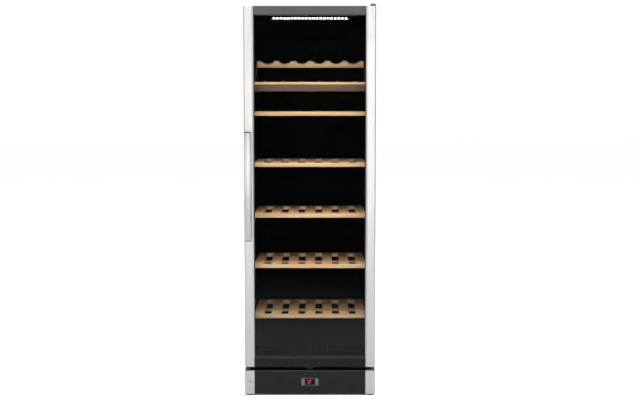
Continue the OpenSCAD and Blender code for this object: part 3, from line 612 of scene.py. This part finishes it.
def pan_head(place, axis, outward, radius=3.6 * MM, height=1.8 * MM):
    """Pan-head screw with a cross recess: a domed head whose top carries a plus-shaped pit. It points
    along the axis, or against it where outward is -1."""
    arm = radius * 0.62
    half = radius * 0.16
    depth = height * 0.55
    part = bmesh.new()
    steps = 24
    profile = ((radius, 0.0), (radius, height * 0.45), (radius * 0.9, height * 0.85), (radius * 0.72, height))
    rings = []
    for r, h in profile:
        ring = []
        for i in range(steps):
            a = 2 * math.pi * i / steps
            ring.append(part.verts.new((r * math.cos(a), r * math.sin(a), h)))
        rings.append(ring)
    part.faces.new(rings[0])
    for a, b in zip(rings, rings[1:]):
        for i in range(steps):
            part.faces.new((a[i], a[(i + 1) % steps], b[(i + 1) % steps], b[i]))
    plus = []
    for quarter in range(4):
        turn = Matrix.Rotation(quarter * math.pi / 2, 3, "Z")
        for u, v in ((half, -half), (arm, -half), (arm, half)):
            plus.append(turn @ Vector((u, v, height)))
    upper = [part.verts.new(p) for p in plus]
    lower = [part.verts.new(p - Vector((0, 0, depth))) for p in plus]
    count = len(plus)
    for i in range(count):
        part.faces.new((upper[i], upper[(i + 1) % count], lower[(i + 1) % count], lower[i]))
    part.faces.new(lower)
    rim = [e for e in part.edges if len(e.link_faces) == 1]
    bmesh.ops.triangle_fill(part, use_beauty=True, use_dissolve=False, edges=rim)
    turn = axis_frame(axis)
    if outward < 0:
        turn = turn @ Matrix.Diagonal((1, 1, -1, 1))
    bmesh.ops.transform(part, matrix=Matrix.Translation(place) @ turn, verts=part.verts)
    return part


EDGE_ANGLE = math.radians(35)
WELD_REACH = 0.002 * MM


def dress(name, material, edge=0.0):
    """Gives a CAD node its material, and rounds its sharp edges by a small modifier bevel."""
    node = nodes[name]
    if not node.data.materials:
        node.data.materials.append(material)
    for slot in node.material_slots:
        slot.material = material
    if edge:
        weld = node.modifiers.new("join_corners", "WELD")
        weld.merge_threshold = WELD_REACH
        bevel = node.modifiers.new("soft_edges", "BEVEL")
        bevel.width = edge
        bevel.segments = 2
        bevel.limit_method = "ANGLE"
        bevel.angle_limit = EDGE_ANGLE
        bevel.harden_normals = True


# ---------------------------------------------------------------------------------------------------------
# CAD nodes that stay as they are
# ---------------------------------------------------------------------------------------------------------

for panel in ("side_panel_left", "side_panel_right", "top_panel"):
    dress(panel, cabinet_paint, 0.3 * MM)
for sheet in ("back_panel", "underside_panel"):
    dress(sheet, back_zinc, 0.2 * MM)
dress("insulation_foam", foam)
dress("inner_liner", liner_plastic)
dress("light_housing", liner_plastic, 0.4 * MM)
dress("air_duct_cover", liner_plastic)
dress("temperature_probe", fan_plastic)
dress("light_lens", lens)
dress("evaporator", coil_aluminium)
dress("fan_frame", fan_plastic)
dress("fan_rotor", fan_plastic)
dress("bottom_rack", rack_enamel)
dress("compressor", black_enamel)
dress("compressor_mounts", black_rubber, 0.4 * MM)
dress("condenser_coil", black_enamel)
dress("condenser_wires", black_enamel)
dress("condenser_clips", trim_plastic)
dress("drip_tray", trim_plastic, 0.3 * MM)
dress("mains_inlet", trim_plastic, 0.3 * MM)
dress("base_frame", black_enamel)
dress("plinth_panel", plinth_plastic, 0.4 * MM)
dress("plinth_cap_left", cap_metal, 0.4 * MM)
dress("plinth_cap_right", cap_metal, 0.4 * MM)
dress("control_bezel", bezel_plastic, 0.3 * MM)
dress("control_display", window_plastic, 0.3 * MM)
dress("control_board", green_board)
dress("button_left", button_plastic, 0.5 * MM)
dress("button_right", button_plastic, 0.5 * MM)
dress("lock_housing", lock_ring, 0.3 * MM)
dress("lock_cylinder", lock_nickel, 0.2 * MM)
dress("lock_bolt", dark_screw, 0.3 * MM)
dress("front_foot_left", black_rubber, 0.6 * MM)
dress("front_foot_right", black_rubber, 0.6 * MM)
dress("rear_rollers", trim_plastic, 0.5 * MM)
dress("hinge_bracket_top", hinge_zinc, 0.3 * MM)
dress("hinge_cover_top", trim_plastic, 0.5 * MM)
dress("hinge_bracket_bottom", dark_screw, 0.4 * MM)
for profile in ("door_profile_left", "door_profile_right"):
    dress(profile, profile_metal, 0.4 * MM)
dress("door_rail_top", rail_paint_upper, 0.4 * MM)
dress("door_rail_bottom", rail_paint_lower, 0.5 * MM)
dress("door_glass_outer", smoked_glass, 0.4 * MM)
dress("door_glass_inner", clear_glass, 0.4 * MM)
dress("glass_spacer", trim_plastic)
dress("door_corner_plugs", trim_plastic, 0.4 * MM)
dress("handle_fittings", fitting_metal, 0.4 * MM)
dress("display_brackets", black_enamel, 0.3 * MM)

# ---------------------------------------------------------------------------------------------------------
# Wooden shelves
# ---------------------------------------------------------------------------------------------------------

LANE = 79 * MM
SLAT_WIDTH = 47 * MM
SLAT_THICKNESS = 12 * MM
RAIL_DEPTH = 20 * MM
CROSS_BAR = 40 * MM
JOINT_GAP = 0.2 * MM
BOARD_EDGE = 1.8 * MM
SLATS_PER_SIDE = 3
SHELF_SCREW_RADIUS = 3.2 * MM
SHELF_SCREW_HEIGHT = 0.9 * MM


def tone_of(index):
    """A board's brightness, spread evenly without repeats close together."""
    return (index * 0.618034) % 1.0


def slatted_shelf(name, number):
    """Front and rear rails with slats between them, screwed from below to a bar across the middle."""
    near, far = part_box(name)
    slat_bottom = far.z - SLAT_THICKNESS
    shelf = Piece(wood_across, wood_deep, screw_zinc)
    shade = number * 11
    front_rail = block(near, (far.x, near.y + RAIL_DEPTH, far.z), BOARD_EDGE, 3)
    shelf.add(front_rail, wood_across, 0.25 * tone_of(shade))
    rear_rail = block((near.x, far.y - RAIL_DEPTH, near.z), far, BOARD_EDGE, 3)
    shelf.add(rear_rail, wood_across, tone_of(shade + 1))
    bar = block((near.x, -CROSS_BAR / 2, near.z), (far.x, CROSS_BAR / 2, slat_bottom), 1.0 * MM)
    shelf.add(bar, wood_across, tone_of(shade + 2))
    for i in range(-SLATS_PER_SIDE, SLATS_PER_SIDE + 1):
        left = max(i * LANE - SLAT_WIDTH / 2, near.x)
        right = min(i * LANE + SLAT_WIDTH / 2, far.x)
        slat = block(
            (left, near.y + RAIL_DEPTH + JOINT_GAP, slat_bottom),
            (right, far.y - RAIL_DEPTH - JOINT_GAP, far.z),
            BOARD_EDGE,
        )
        shelf.add(slat, wood_deep, tone_of(shade + 7 + i))
        middle = (left + right) / 2
        screw = pan_head((middle, 0, near.z), "Z", -1, SHELF_SCREW_RADIUS, SHELF_SCREW_HEIGHT)
        shelf.add(screw, screw_zinc)
    shelf.finish(name + "_boards", name, "wood", name)


for number in range(1, 6):
    slatted_shelf(f"shelf_{number}", number)

# The display shelf: its slope starts at the underside of its front board
DISPLAY_TILT = math.radians(25)
DISPLAY_SETBACK = 92.5 * MM
DISPLAY_LANE = 82 * MM
DISPLAY_LANES = 6
DISPLAY_BOARD = 38 * MM
TOP_EDGE_HEIGHT = 4 * MM
PEG_RADIUS = 3 * MM
PEG_HEIGHT = 10 * MM
PEG_PLACE = 8 * MM
CRADLE_PLACES = (22 * MM, 262 * MM)
CRADLE_TOPS = (26 * MM, 32 * MM)
CRADLE_BOTTOM = 4 * MM
CRADLE_CLEARANCE = 2 * MM
SCALLOP_RADIUS = 39 * MM
SCALLOP_STEPS = 12
SCALLOP_RISE = 24 * MM


def display_shelf():
    """Tilted front board with its top edge strip and pegs, and two scalloped rails behind it. The board's
    face below that strip is wood darkened to about a quarter: painted shade, as the face tilts down away from
    the light above.
    """
    near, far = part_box("display_shelf")
    bracket_low = low("display_brackets")
    start = Vector((0, door_front + DISPLAY_SETBACK, bracket_low.z))
    slope = Matrix.Translation(start) @ Matrix.Rotation(DISPLAY_TILT, 4, "X")
    shelf = Piece(wood_across, wood_deep, wood_painted_shade, wood_top_edge)
    lanes = [(i - (DISPLAY_LANES - 1) / 2) * DISPLAY_LANE for i in range(DISPLAY_LANES)]
    top_edge_start = DISPLAY_BOARD - TOP_EDGE_HEIGHT
    # Painted shade: the board's face below the top edge strip is the darkened wood.
    board = block((near.x, 0, 0), (far.x, RAIL_DEPTH, top_edge_start), 0.6 * MM)
    shelf.add(board, wood_painted_shade, 0.3, slope)
    top_edge = block((near.x, 0, top_edge_start), (far.x, RAIL_DEPTH, DISPLAY_BOARD), 1.5 * MM, 3)
    shelf.add(top_edge, wood_top_edge, 0.2, slope)
    peg_profile = (
        (PEG_RADIUS * 0.9, -1 * MM),
        (PEG_RADIUS * 0.9, 0),
        (PEG_RADIUS, 1 * MM),
        (PEG_RADIUS, PEG_HEIGHT - 2.2 * MM),
        (PEG_RADIUS * 0.85, PEG_HEIGHT - 0.9 * MM),
        (PEG_RADIUS * 0.5, PEG_HEIGHT - 0.2 * MM),
        (0, PEG_HEIGHT),
    )
    for i, x in enumerate(lanes):
        peg = turned(peg_profile, (x, PEG_PLACE, DISPLAY_BOARD))
        shelf.add(peg, wood_deep, 0.2 * tone_of(i), slope)
    half = high("display_brackets").x - CRADLE_CLEARANCE
    opening = math.acos(SCALLOP_RISE / SCALLOP_RADIUS)
    for k, (place, top) in enumerate(zip(CRADLE_PLACES, CRADLE_TOPS)):
        crest = [(-half, CRADLE_BOTTOM), (half, CRADLE_BOTTOM), (half, top)]
        for x in reversed(lanes):
            for i in range(SCALLOP_STEPS + 1):
                angle = opening - 2 * opening * i / SCALLOP_STEPS
                height = top + SCALLOP_RISE - SCALLOP_RADIUS * math.cos(angle)
                across = x + SCALLOP_RADIUS * math.sin(angle)
                crest.append((across, height))
        crest.append((-half, top))
        inside = [p for p in crest if abs(p[0]) <= half]
        rail = outline(inside, "Y", place, place + RAIL_DEPTH, 1.2 * MM, 40)
        shelf.add(rail, wood_across, tone_of(40 + k), slope)
    shelf.finish("display_shelf_boards", "display_shelf", "wood", "display_shelf")


display_shelf()

# ---------------------------------------------------------------------------------------------------------
# Handle
# ---------------------------------------------------------------------------------------------------------

HANDLE_CROWN = 2.5 * MM
HANDLE_CHAMFER = 2 * MM
CROWN_STEPS = 40


def handle_bar():
    """Bar with a shallow crown across its front face and chamfers along its rear edges."""
    near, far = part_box("handle_bar")
    width = far.x - near.x
    section = []
    for i in range(CROWN_STEPS + 1):
        across = i / CROWN_STEPS
        drop = HANDLE_CROWN * (2 * across - 1) ** 2
        section.append((near.x + across * width, near.y + drop))
    section += [
        (far.x, far.y - HANDLE_CHAMFER),
        (far.x - HANDLE_CHAMFER, far.y),
        (near.x + HANDLE_CHAMFER, far.y),
        (near.x, far.y - HANDLE_CHAMFER),
    ]
    bar = Piece(handle_metal)
    bar.add(outline(section, "Z", near.z, far.z, 0.5 * MM, 50), handle_metal)
    bar.finish("handle_grip", "door", "profile_aluminium", "handle_bar", sharp=40)


handle_bar()

# ---------------------------------------------------------------------------------------------------------
# Door gasket: foot in the frame's groove, bellows and magnet bulb
# ---------------------------------------------------------------------------------------------------------

# Share of the gasket's depth, then how far its outer and inner faces lie in from its outer edge, in mm
GASKET_PROFILE = (
    (0.00, 0.5, 13.5),
    (0.12, 0.0, 14.0),
    (0.24, 1.9, 12.5),
    (0.36, 1.2, 13.2),
    (0.48, 2.6, 11.8),
    (0.62, 1.4, 13.0),
    (0.82, 1.2, 13.2),
    (1.00, 2.4, 12.0),
)


def door_gasket():
    near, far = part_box("door_gasket")
    depth = far.y - near.y
    inner_face = [(inner * MM, near.y + share * depth) for share, outer, inner in GASKET_PROFILE]
    outer_face = [(outer * MM, near.y + share * depth) for share, outer, inner in GASKET_PROFILE]
    section = [outer_face[0]] + inner_face + outer_face[:0:-1]
    gasket = Piece(black_rubber)
    gasket.add(frame_sweep(section, far.x, near.z, far.z), black_rubber)
    gasket.finish("door_gasket_bellows", "door", "rubber", "door_gasket", sharp=25)


door_gasket()

# ---------------------------------------------------------------------------------------------------------
# Light strip: board with its light points behind the lens
# ---------------------------------------------------------------------------------------------------------

# Depths are measured out of the slanted face, from the middle of the lens
LIGHT_COUNT = 21
LIGHT_PITCH = 16.4 * MM
LIGHT_RADIUS = 6.4 * MM
LIGHT_TALL = 1.42
LIGHT_STEPS = 20
BOARD_HALF = (175 * MM, 6 * MM)
BOARD_BACK = -5.2 * MM
BOARD_FACE = -3.6 * MM
END_SCREW_PLACE = (181 * MM, -0.6 * MM)
FACE_TURN = math.radians(135)
LAMP_GAP = 6 * MM


def light_strip():
    """Slanted board of light points, with a screw past each end. Returns the place of its lamp."""
    near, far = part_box("light_lens")
    middle = (near + far) / 2
    outward = Vector((0, -1, -1)).normalized()
    face = Matrix.Translation((0, middle.y, middle.z)) @ Matrix.Rotation(FACE_TURN, 4, "X")
    strip = Piece(light_board, light_point, light_fringe, screw_cap)
    half_x, half_y = BOARD_HALF
    board = block((-half_x, -half_y, BOARD_BACK), (half_x, half_y, BOARD_FACE), 0.2 * MM)
    strip.add(board, light_board, 0.5, face)
    dome = (
        (4.4 * MM, 0.7 * MM),
        (4.2 * MM, 1.2 * MM),
        (3.6 * MM, 1.9 * MM),
        (2.1 * MM, 2.4 * MM),
        (0, 2.5 * MM),
    )
    cup = ((LIGHT_RADIUS, 0), (LIGHT_RADIUS, 0.8 * MM), (5.1 * MM, 1.0 * MM))
    for i in range(LIGHT_COUNT):
        x = (i - (LIGHT_COUNT - 1) / 2) * LIGHT_PITCH
        tall = Matrix.Translation((x, 0, BOARD_FACE)) @ Matrix.Diagonal((1, LIGHT_TALL, 1, 1))
        strip.add(turned(dome, (0, 0, 0), LIGHT_STEPS), light_point, 0.5, face @ tall)
        strip.add(turned(cup, (x, 0, BOARD_FACE), LIGHT_STEPS), light_fringe, 0.5, face)
    screw_x, screw_depth = END_SCREW_PLACE
    for side in (-1, 1):
        screw = pan_head((side * screw_x, 0, screw_depth), "Z", 1, 3.4 * MM, 1.0 * MM)
        strip.add(screw, screw_cap, 0.5, face)
    strip.finish("light_strip", "cabinet", "board", "led_board")
    return Vector((0, middle.y, middle.z)) + outward * LAMP_GAP


light_place = light_strip()

# ---------------------------------------------------------------------------------------------------------
# Temperature display: two digits of seven slanted segments
# ---------------------------------------------------------------------------------------------------------

SHOWN = "12"
SEGMENTS = {"1": "bc", "2": "abged"}
DIGIT_HEIGHT = 15 * MM
DIGIT_WIDTH = 6 * MM
DIGIT_PITCH = 11 * MM
DIGITS_MIDDLE = -5.5 * MM
SEGMENT = 1.8 * MM
SEGMENT_GAP = 0.35 * MM
SEGMENT_PROUD = 0.15 * MM
SEGMENT_DEPTH = 0.5 * MM
DIGIT_SLANT = 0.10
GLOW_SPILL_PROUD = 0.05 * MM
GLOW_SPILL_DEPTH = 0.3 * MM
GLOW_SPILL_HALF = 11 * MM


def segment_bars(lit):
    """The lit segments of one digit as (corner, opposite) pairs in X and Z, about the digit's middle."""
    w = DIGIT_WIDTH / 2
    h = DIGIT_HEIGHT / 2
    t = SEGMENT / 2
    g = SEGMENT_GAP
    bars = {
        "a": ((-w + t + g, h - t), (w - t - g, h + t)),
        "g": ((-w + t + g, -t), (w - t - g, t)),
        "d": ((-w + t + g, -h - t), (w - t - g, -h + t)),
        "b": ((w - t, t * 0.5 + g), (w + t, h - g)),
        "c": ((w - t, -h + g), (w + t, -t * 0.5 - g)),
        "f": ((-w - t, t * 0.5 + g), (-w + t, h - g)),
        "e": ((-w - t, -h + g), (-w + t, -t * 0.5 - g)),
    }
    return [bars[s] for s in lit]


def temperature_digits():
    near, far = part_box("control_display")
    middle_z = (near.z + far.z) / 2
    front = near.y
    digits = Piece(red_segment, red_glow_spill)
    for side, digit in zip((-0.5, 0.5), SHOWN):
        middle_x = DIGITS_MIDDLE + side * DIGIT_PITCH
        for (x0, z0), (x1, z1) in segment_bars(SEGMENTS[digit]):
            bar = block((x0, front - SEGMENT_PROUD, z0), (x1, front + SEGMENT_DEPTH, z1), 0.5 * MM)
            for corner in bar.verts:
                corner.co.x += DIGIT_SLANT * corner.co.z
            digits.add(bar, red_segment, 0.5, Matrix.Translation((middle_x, 0, middle_z)))
        # Painted light: a faintly glowing sheet over the digit's window, for the glow around the lit
        # segments.
        glow_spill = block(
            (middle_x - DIGIT_PITCH / 2, front - GLOW_SPILL_PROUD, middle_z - GLOW_SPILL_HALF),
            (middle_x + DIGIT_PITCH / 2, front + GLOW_SPILL_DEPTH, middle_z + GLOW_SPILL_HALF),
            0.02 * MM,
        )
        digits.add(glow_spill, red_glow_spill)
    digits.finish("temperature_digits", "cabinet", "display_glow")


temperature_digits()

# ---------------------------------------------------------------------------------------------------------
# Refrigerant lines, in bent copper tube
# ---------------------------------------------------------------------------------------------------------

LINE_RADIUS = 2.5 * MM
SUCTION_RADIUS = 4 * MM
CAPILLARY_RADIUS = 1.8 * MM
PORT_REACH = 74 * MM
PORT_OFFSET = 20 * MM
PORT_HEIGHT = 90 * MM
COIL_END_X = -235 * MM
DISCHARGE_X = -30 * MM
DISCHARGE_DROP = 30 * MM
DISCHARGE_STEP = 8 * MM
CROSSING_Z = 205 * MM
DRIER_X = -120 * MM
DRIER_TOP = 168 * MM
DRIER_BOTTOM = 78 * MM
CAPILLARY_STEP = 25 * MM
CAPILLARY_Z = 60 * MM
DRIER_PROFILE = (
    (0, 74 * MM),
    (2.6 * MM, 74 * MM),
    (3 * MM, 80 * MM),
    (9 * MM, 90 * MM),
    (9 * MM, 158 * MM),
    (4 * MM, DRIER_TOP),
    (3.4 * MM, 174 * MM),
    (0, 174 * MM),
)


def refrigerant_lines():
    """Discharge line to the condenser, liquid line to the drier, then capillary and suction line."""
    coil_low, coil_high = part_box("condenser_coil")
    mount_low, mount_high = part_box("compressor_mounts")
    comp_x = (mount_low.x + mount_high.x) / 2
    comp_y = (mount_low.y + mount_high.y) / 2
    coil_y = (coil_low.y + coil_high.y) / 2
    coil_first = coil_low.z + LINE_RADIUS
    coil_last = coil_high.z - LINE_RADIUS
    port_x = comp_x - PORT_REACH
    port_z = low("compressor").z + PORT_HEIGHT
    niche_top = low("back_panel").z
    down_x = low("refrigerant_lines").x + LINE_RADIUS
    discharge_y = comp_y + PORT_OFFSET
    suction_y = comp_y - PORT_OFFSET
    turn_x = COIL_END_X - DISCHARGE_STEP
    turn_z = coil_first - DISCHARGE_DROP
    lines = Piece(copper)
    discharge = [
        (port_x, discharge_y, port_z),
        (DISCHARGE_X, discharge_y, port_z),
        (DISCHARGE_X, coil_y, port_z),
        (DISCHARGE_X, coil_y, turn_z),
        (turn_x, coil_y, turn_z),
        (turn_x, coil_y, coil_first),
        (COIL_END_X, coil_y, coil_first),
    ]
    lines.add(tube(discharge, LINE_RADIUS, 10 * MM))
    suction = [
        (port_x, suction_y, port_z),
        (0, suction_y, port_z),
        (0, suction_y, niche_top),
    ]
    lines.add(tube(suction, SUCTION_RADIUS, 14 * MM))
    liquid = [
        (COIL_END_X, coil_y, coil_last),
        (down_x, coil_y, coil_last),
        (down_x, coil_y, CROSSING_Z),
        (down_x, comp_y, CROSSING_Z),
        (DRIER_X, comp_y, CROSSING_Z),
        (DRIER_X, comp_y, DRIER_TOP),
    ]
    lines.add(tube(liquid, LINE_RADIUS, 10 * MM))
    lines.add(turned(DRIER_PROFILE, (DRIER_X, comp_y, 0)))
    capillary = [
        (DRIER_X, comp_y, DRIER_BOTTOM),
        (DRIER_X, comp_y, CAPILLARY_Z),
        (DRIER_X + CAPILLARY_STEP, comp_y, CAPILLARY_Z),
        (DRIER_X + CAPILLARY_STEP, comp_y, niche_top),
    ]
    lines.add(tube(capillary, CAPILLARY_RADIUS, 8 * MM))
    lines.finish("refrigerant_tubes", "cabinet", "copper", "refrigerant_lines")


refrigerant_lines()

# ---------------------------------------------------------------------------------------------------------
# Screws
# ---------------------------------------------------------------------------------------------------------

SCREW_INSET = 9 * MM
SIDE_SCREWS = 8
SIDE_MARGIN = 20 * MM
LOWER_SCREWS = 5
LOWER_MARGIN = 60 * MM


def cabinet_screws():
    """Screws up both sides of the back panel and along its lower edge."""
    near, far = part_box("back_panel")
    screws = Piece(screw_zinc)
    for i in range(SIDE_SCREWS):
        share = i / (SIDE_SCREWS - 1)
        z = near.z + SIDE_MARGIN + (far.z - near.z - 2 * SIDE_MARGIN) * share
        for x in (near.x + SCREW_INSET, far.x - SCREW_INSET):
            screws.add(pan_head((x, far.y, z), "Y", 1))
    for i in range(LOWER_SCREWS):
        share = i / (LOWER_SCREWS - 1)
        x = near.x + LOWER_MARGIN + (far.x - near.x - 2 * LOWER_MARGIN) * share
        screws.add(pan_head((x, far.y, near.z + SCREW_INSET), "Y", 1))
    screws.finish("back_screws", "cabinet", "hinge_steel")


cabinet_screws()

# ---------------------------------------------------------------------------------------------------------
# Floor, light and camera
# ---------------------------------------------------------------------------------------------------------

FLOOR_REACH = 30
WORLD_STRENGTH = 1.03

# The walls of light stand on the floor in front of the object. The flat metal mirrors the middle one, and the
# slanted inner edges of the side profiles mirror the outer two.
WALL_Y = -6.2
WALL_HEIGHT = 3.6
FRONT_WALL_X = 0.1
SIDE_WALL_X = 3.1
EYE_LEVEL = 1.8
CAMERA_DISTANCE = 5.0
CAMERA_PLACE = (0.046, 1.35)
CAMERA_TILT = 4.15


def pale_floor():
    made = Finish("pale_floor", (0.96, 0.96, 0.96), 0.7, Specular_IOR_Level=0.1)
    cloud = made.noise(0.6)
    made.link(made.shade(made.span(cloud, 0.0, 1.0), 0.985, 1.0), "Base Color")
    mesh = bpy.data.meshes.new("floor")
    corners = [(FLOOR_REACH * x, FLOOR_REACH * y, 0) for x, y in ((-1, -1), (1, -1), (1, 1), (-1, 1))]
    mesh.from_pydata(corners, [], [(0, 1, 2, 3)])
    mesh.materials.append(made.material)
    floor = bpy.data.objects.new("floor", mesh)
    bpy.context.scene.collection.objects.link(floor)


def area_light(name, place, target, width, height, power, color=(1, 1, 1)):
    """Rectangular lamp at a place, facing the target; its power is in watts."""
    data = bpy.data.lights.new(name, "AREA")
    data.shape = "RECTANGLE"
    data.size = width
    data.size_y = height
    data.energy = power
    data.color = color
    lamp = bpy.data.objects.new(name, data)
    lamp.location = place
    lamp.rotation_euler = (Vector(target) - Vector(place)).to_track_quat("-Z", "Y").to_euler()
    bpy.context.scene.collection.objects.link(lamp)


def studio():
    world = bpy.data.worlds.new("studio")
    world.use_nodes = True
    background = world.node_tree.nodes["Background"]
    background.inputs["Color"].default_value = (1, 1, 1, 1)
    background.inputs["Strength"].default_value = WORLD_STRENGTH
    bpy.context.scene.world = world
    bpy.context.scene.view_settings.view_transform = "Standard"
    place = (FRONT_WALL_X, WALL_Y, EYE_LEVEL)
    target = (FRONT_WALL_X, 0, EYE_LEVEL)
    area_light("front_wall", place, target, width=2.4, height=WALL_HEIGHT, power=115)
    place = (0, -1.9, 4.3)
    target = (0, -0.25, 1.1)
    area_light("high_softbox", place, target, width=1.8, height=1.0, power=214)
    for side, name in ((-1, "left_wall"), (1, "right_wall")):
        place = (side * SIDE_WALL_X, WALL_Y, EYE_LEVEL)
        target = (0, -0.28, EYE_LEVEL)
        area_light(name, place, target, width=1.5, height=WALL_HEIGHT, power=68)
    place = (1.6, 3.6, 2.6)
    target = (0, 0.3, 0.9)
    area_light("rear_fill", place, target, width=2.5, height=2.0, power=40)
    target = light_place + Vector((0, 0.35, -1.0))
    cool = (0.95, 1.0, 0.98)
    area_light("shelf_light", light_place, target, width=0.36, height=0.012, power=1.0, color=cool)


def photo_camera():
    """Slightly above the middle and to the right, tipped down a little."""
    data = bpy.data.cameras.new("camera")
    data.sensor_width = 36
    data.lens = 62.36
    data.shift_y = -0.03
    camera = bpy.data.objects.new("camera", data)
    camera_x, camera_z = CAMERA_PLACE
    camera.location = (camera_x, door_front - CAMERA_DISTANCE, camera_z)
    camera.rotation_euler = (math.radians(90 - CAMERA_TILT), 0, 0)
    bpy.context.scene.collection.objects.link(camera)
    bpy.context.scene.camera = camera


pale_floor()
studio()
photo_camera()
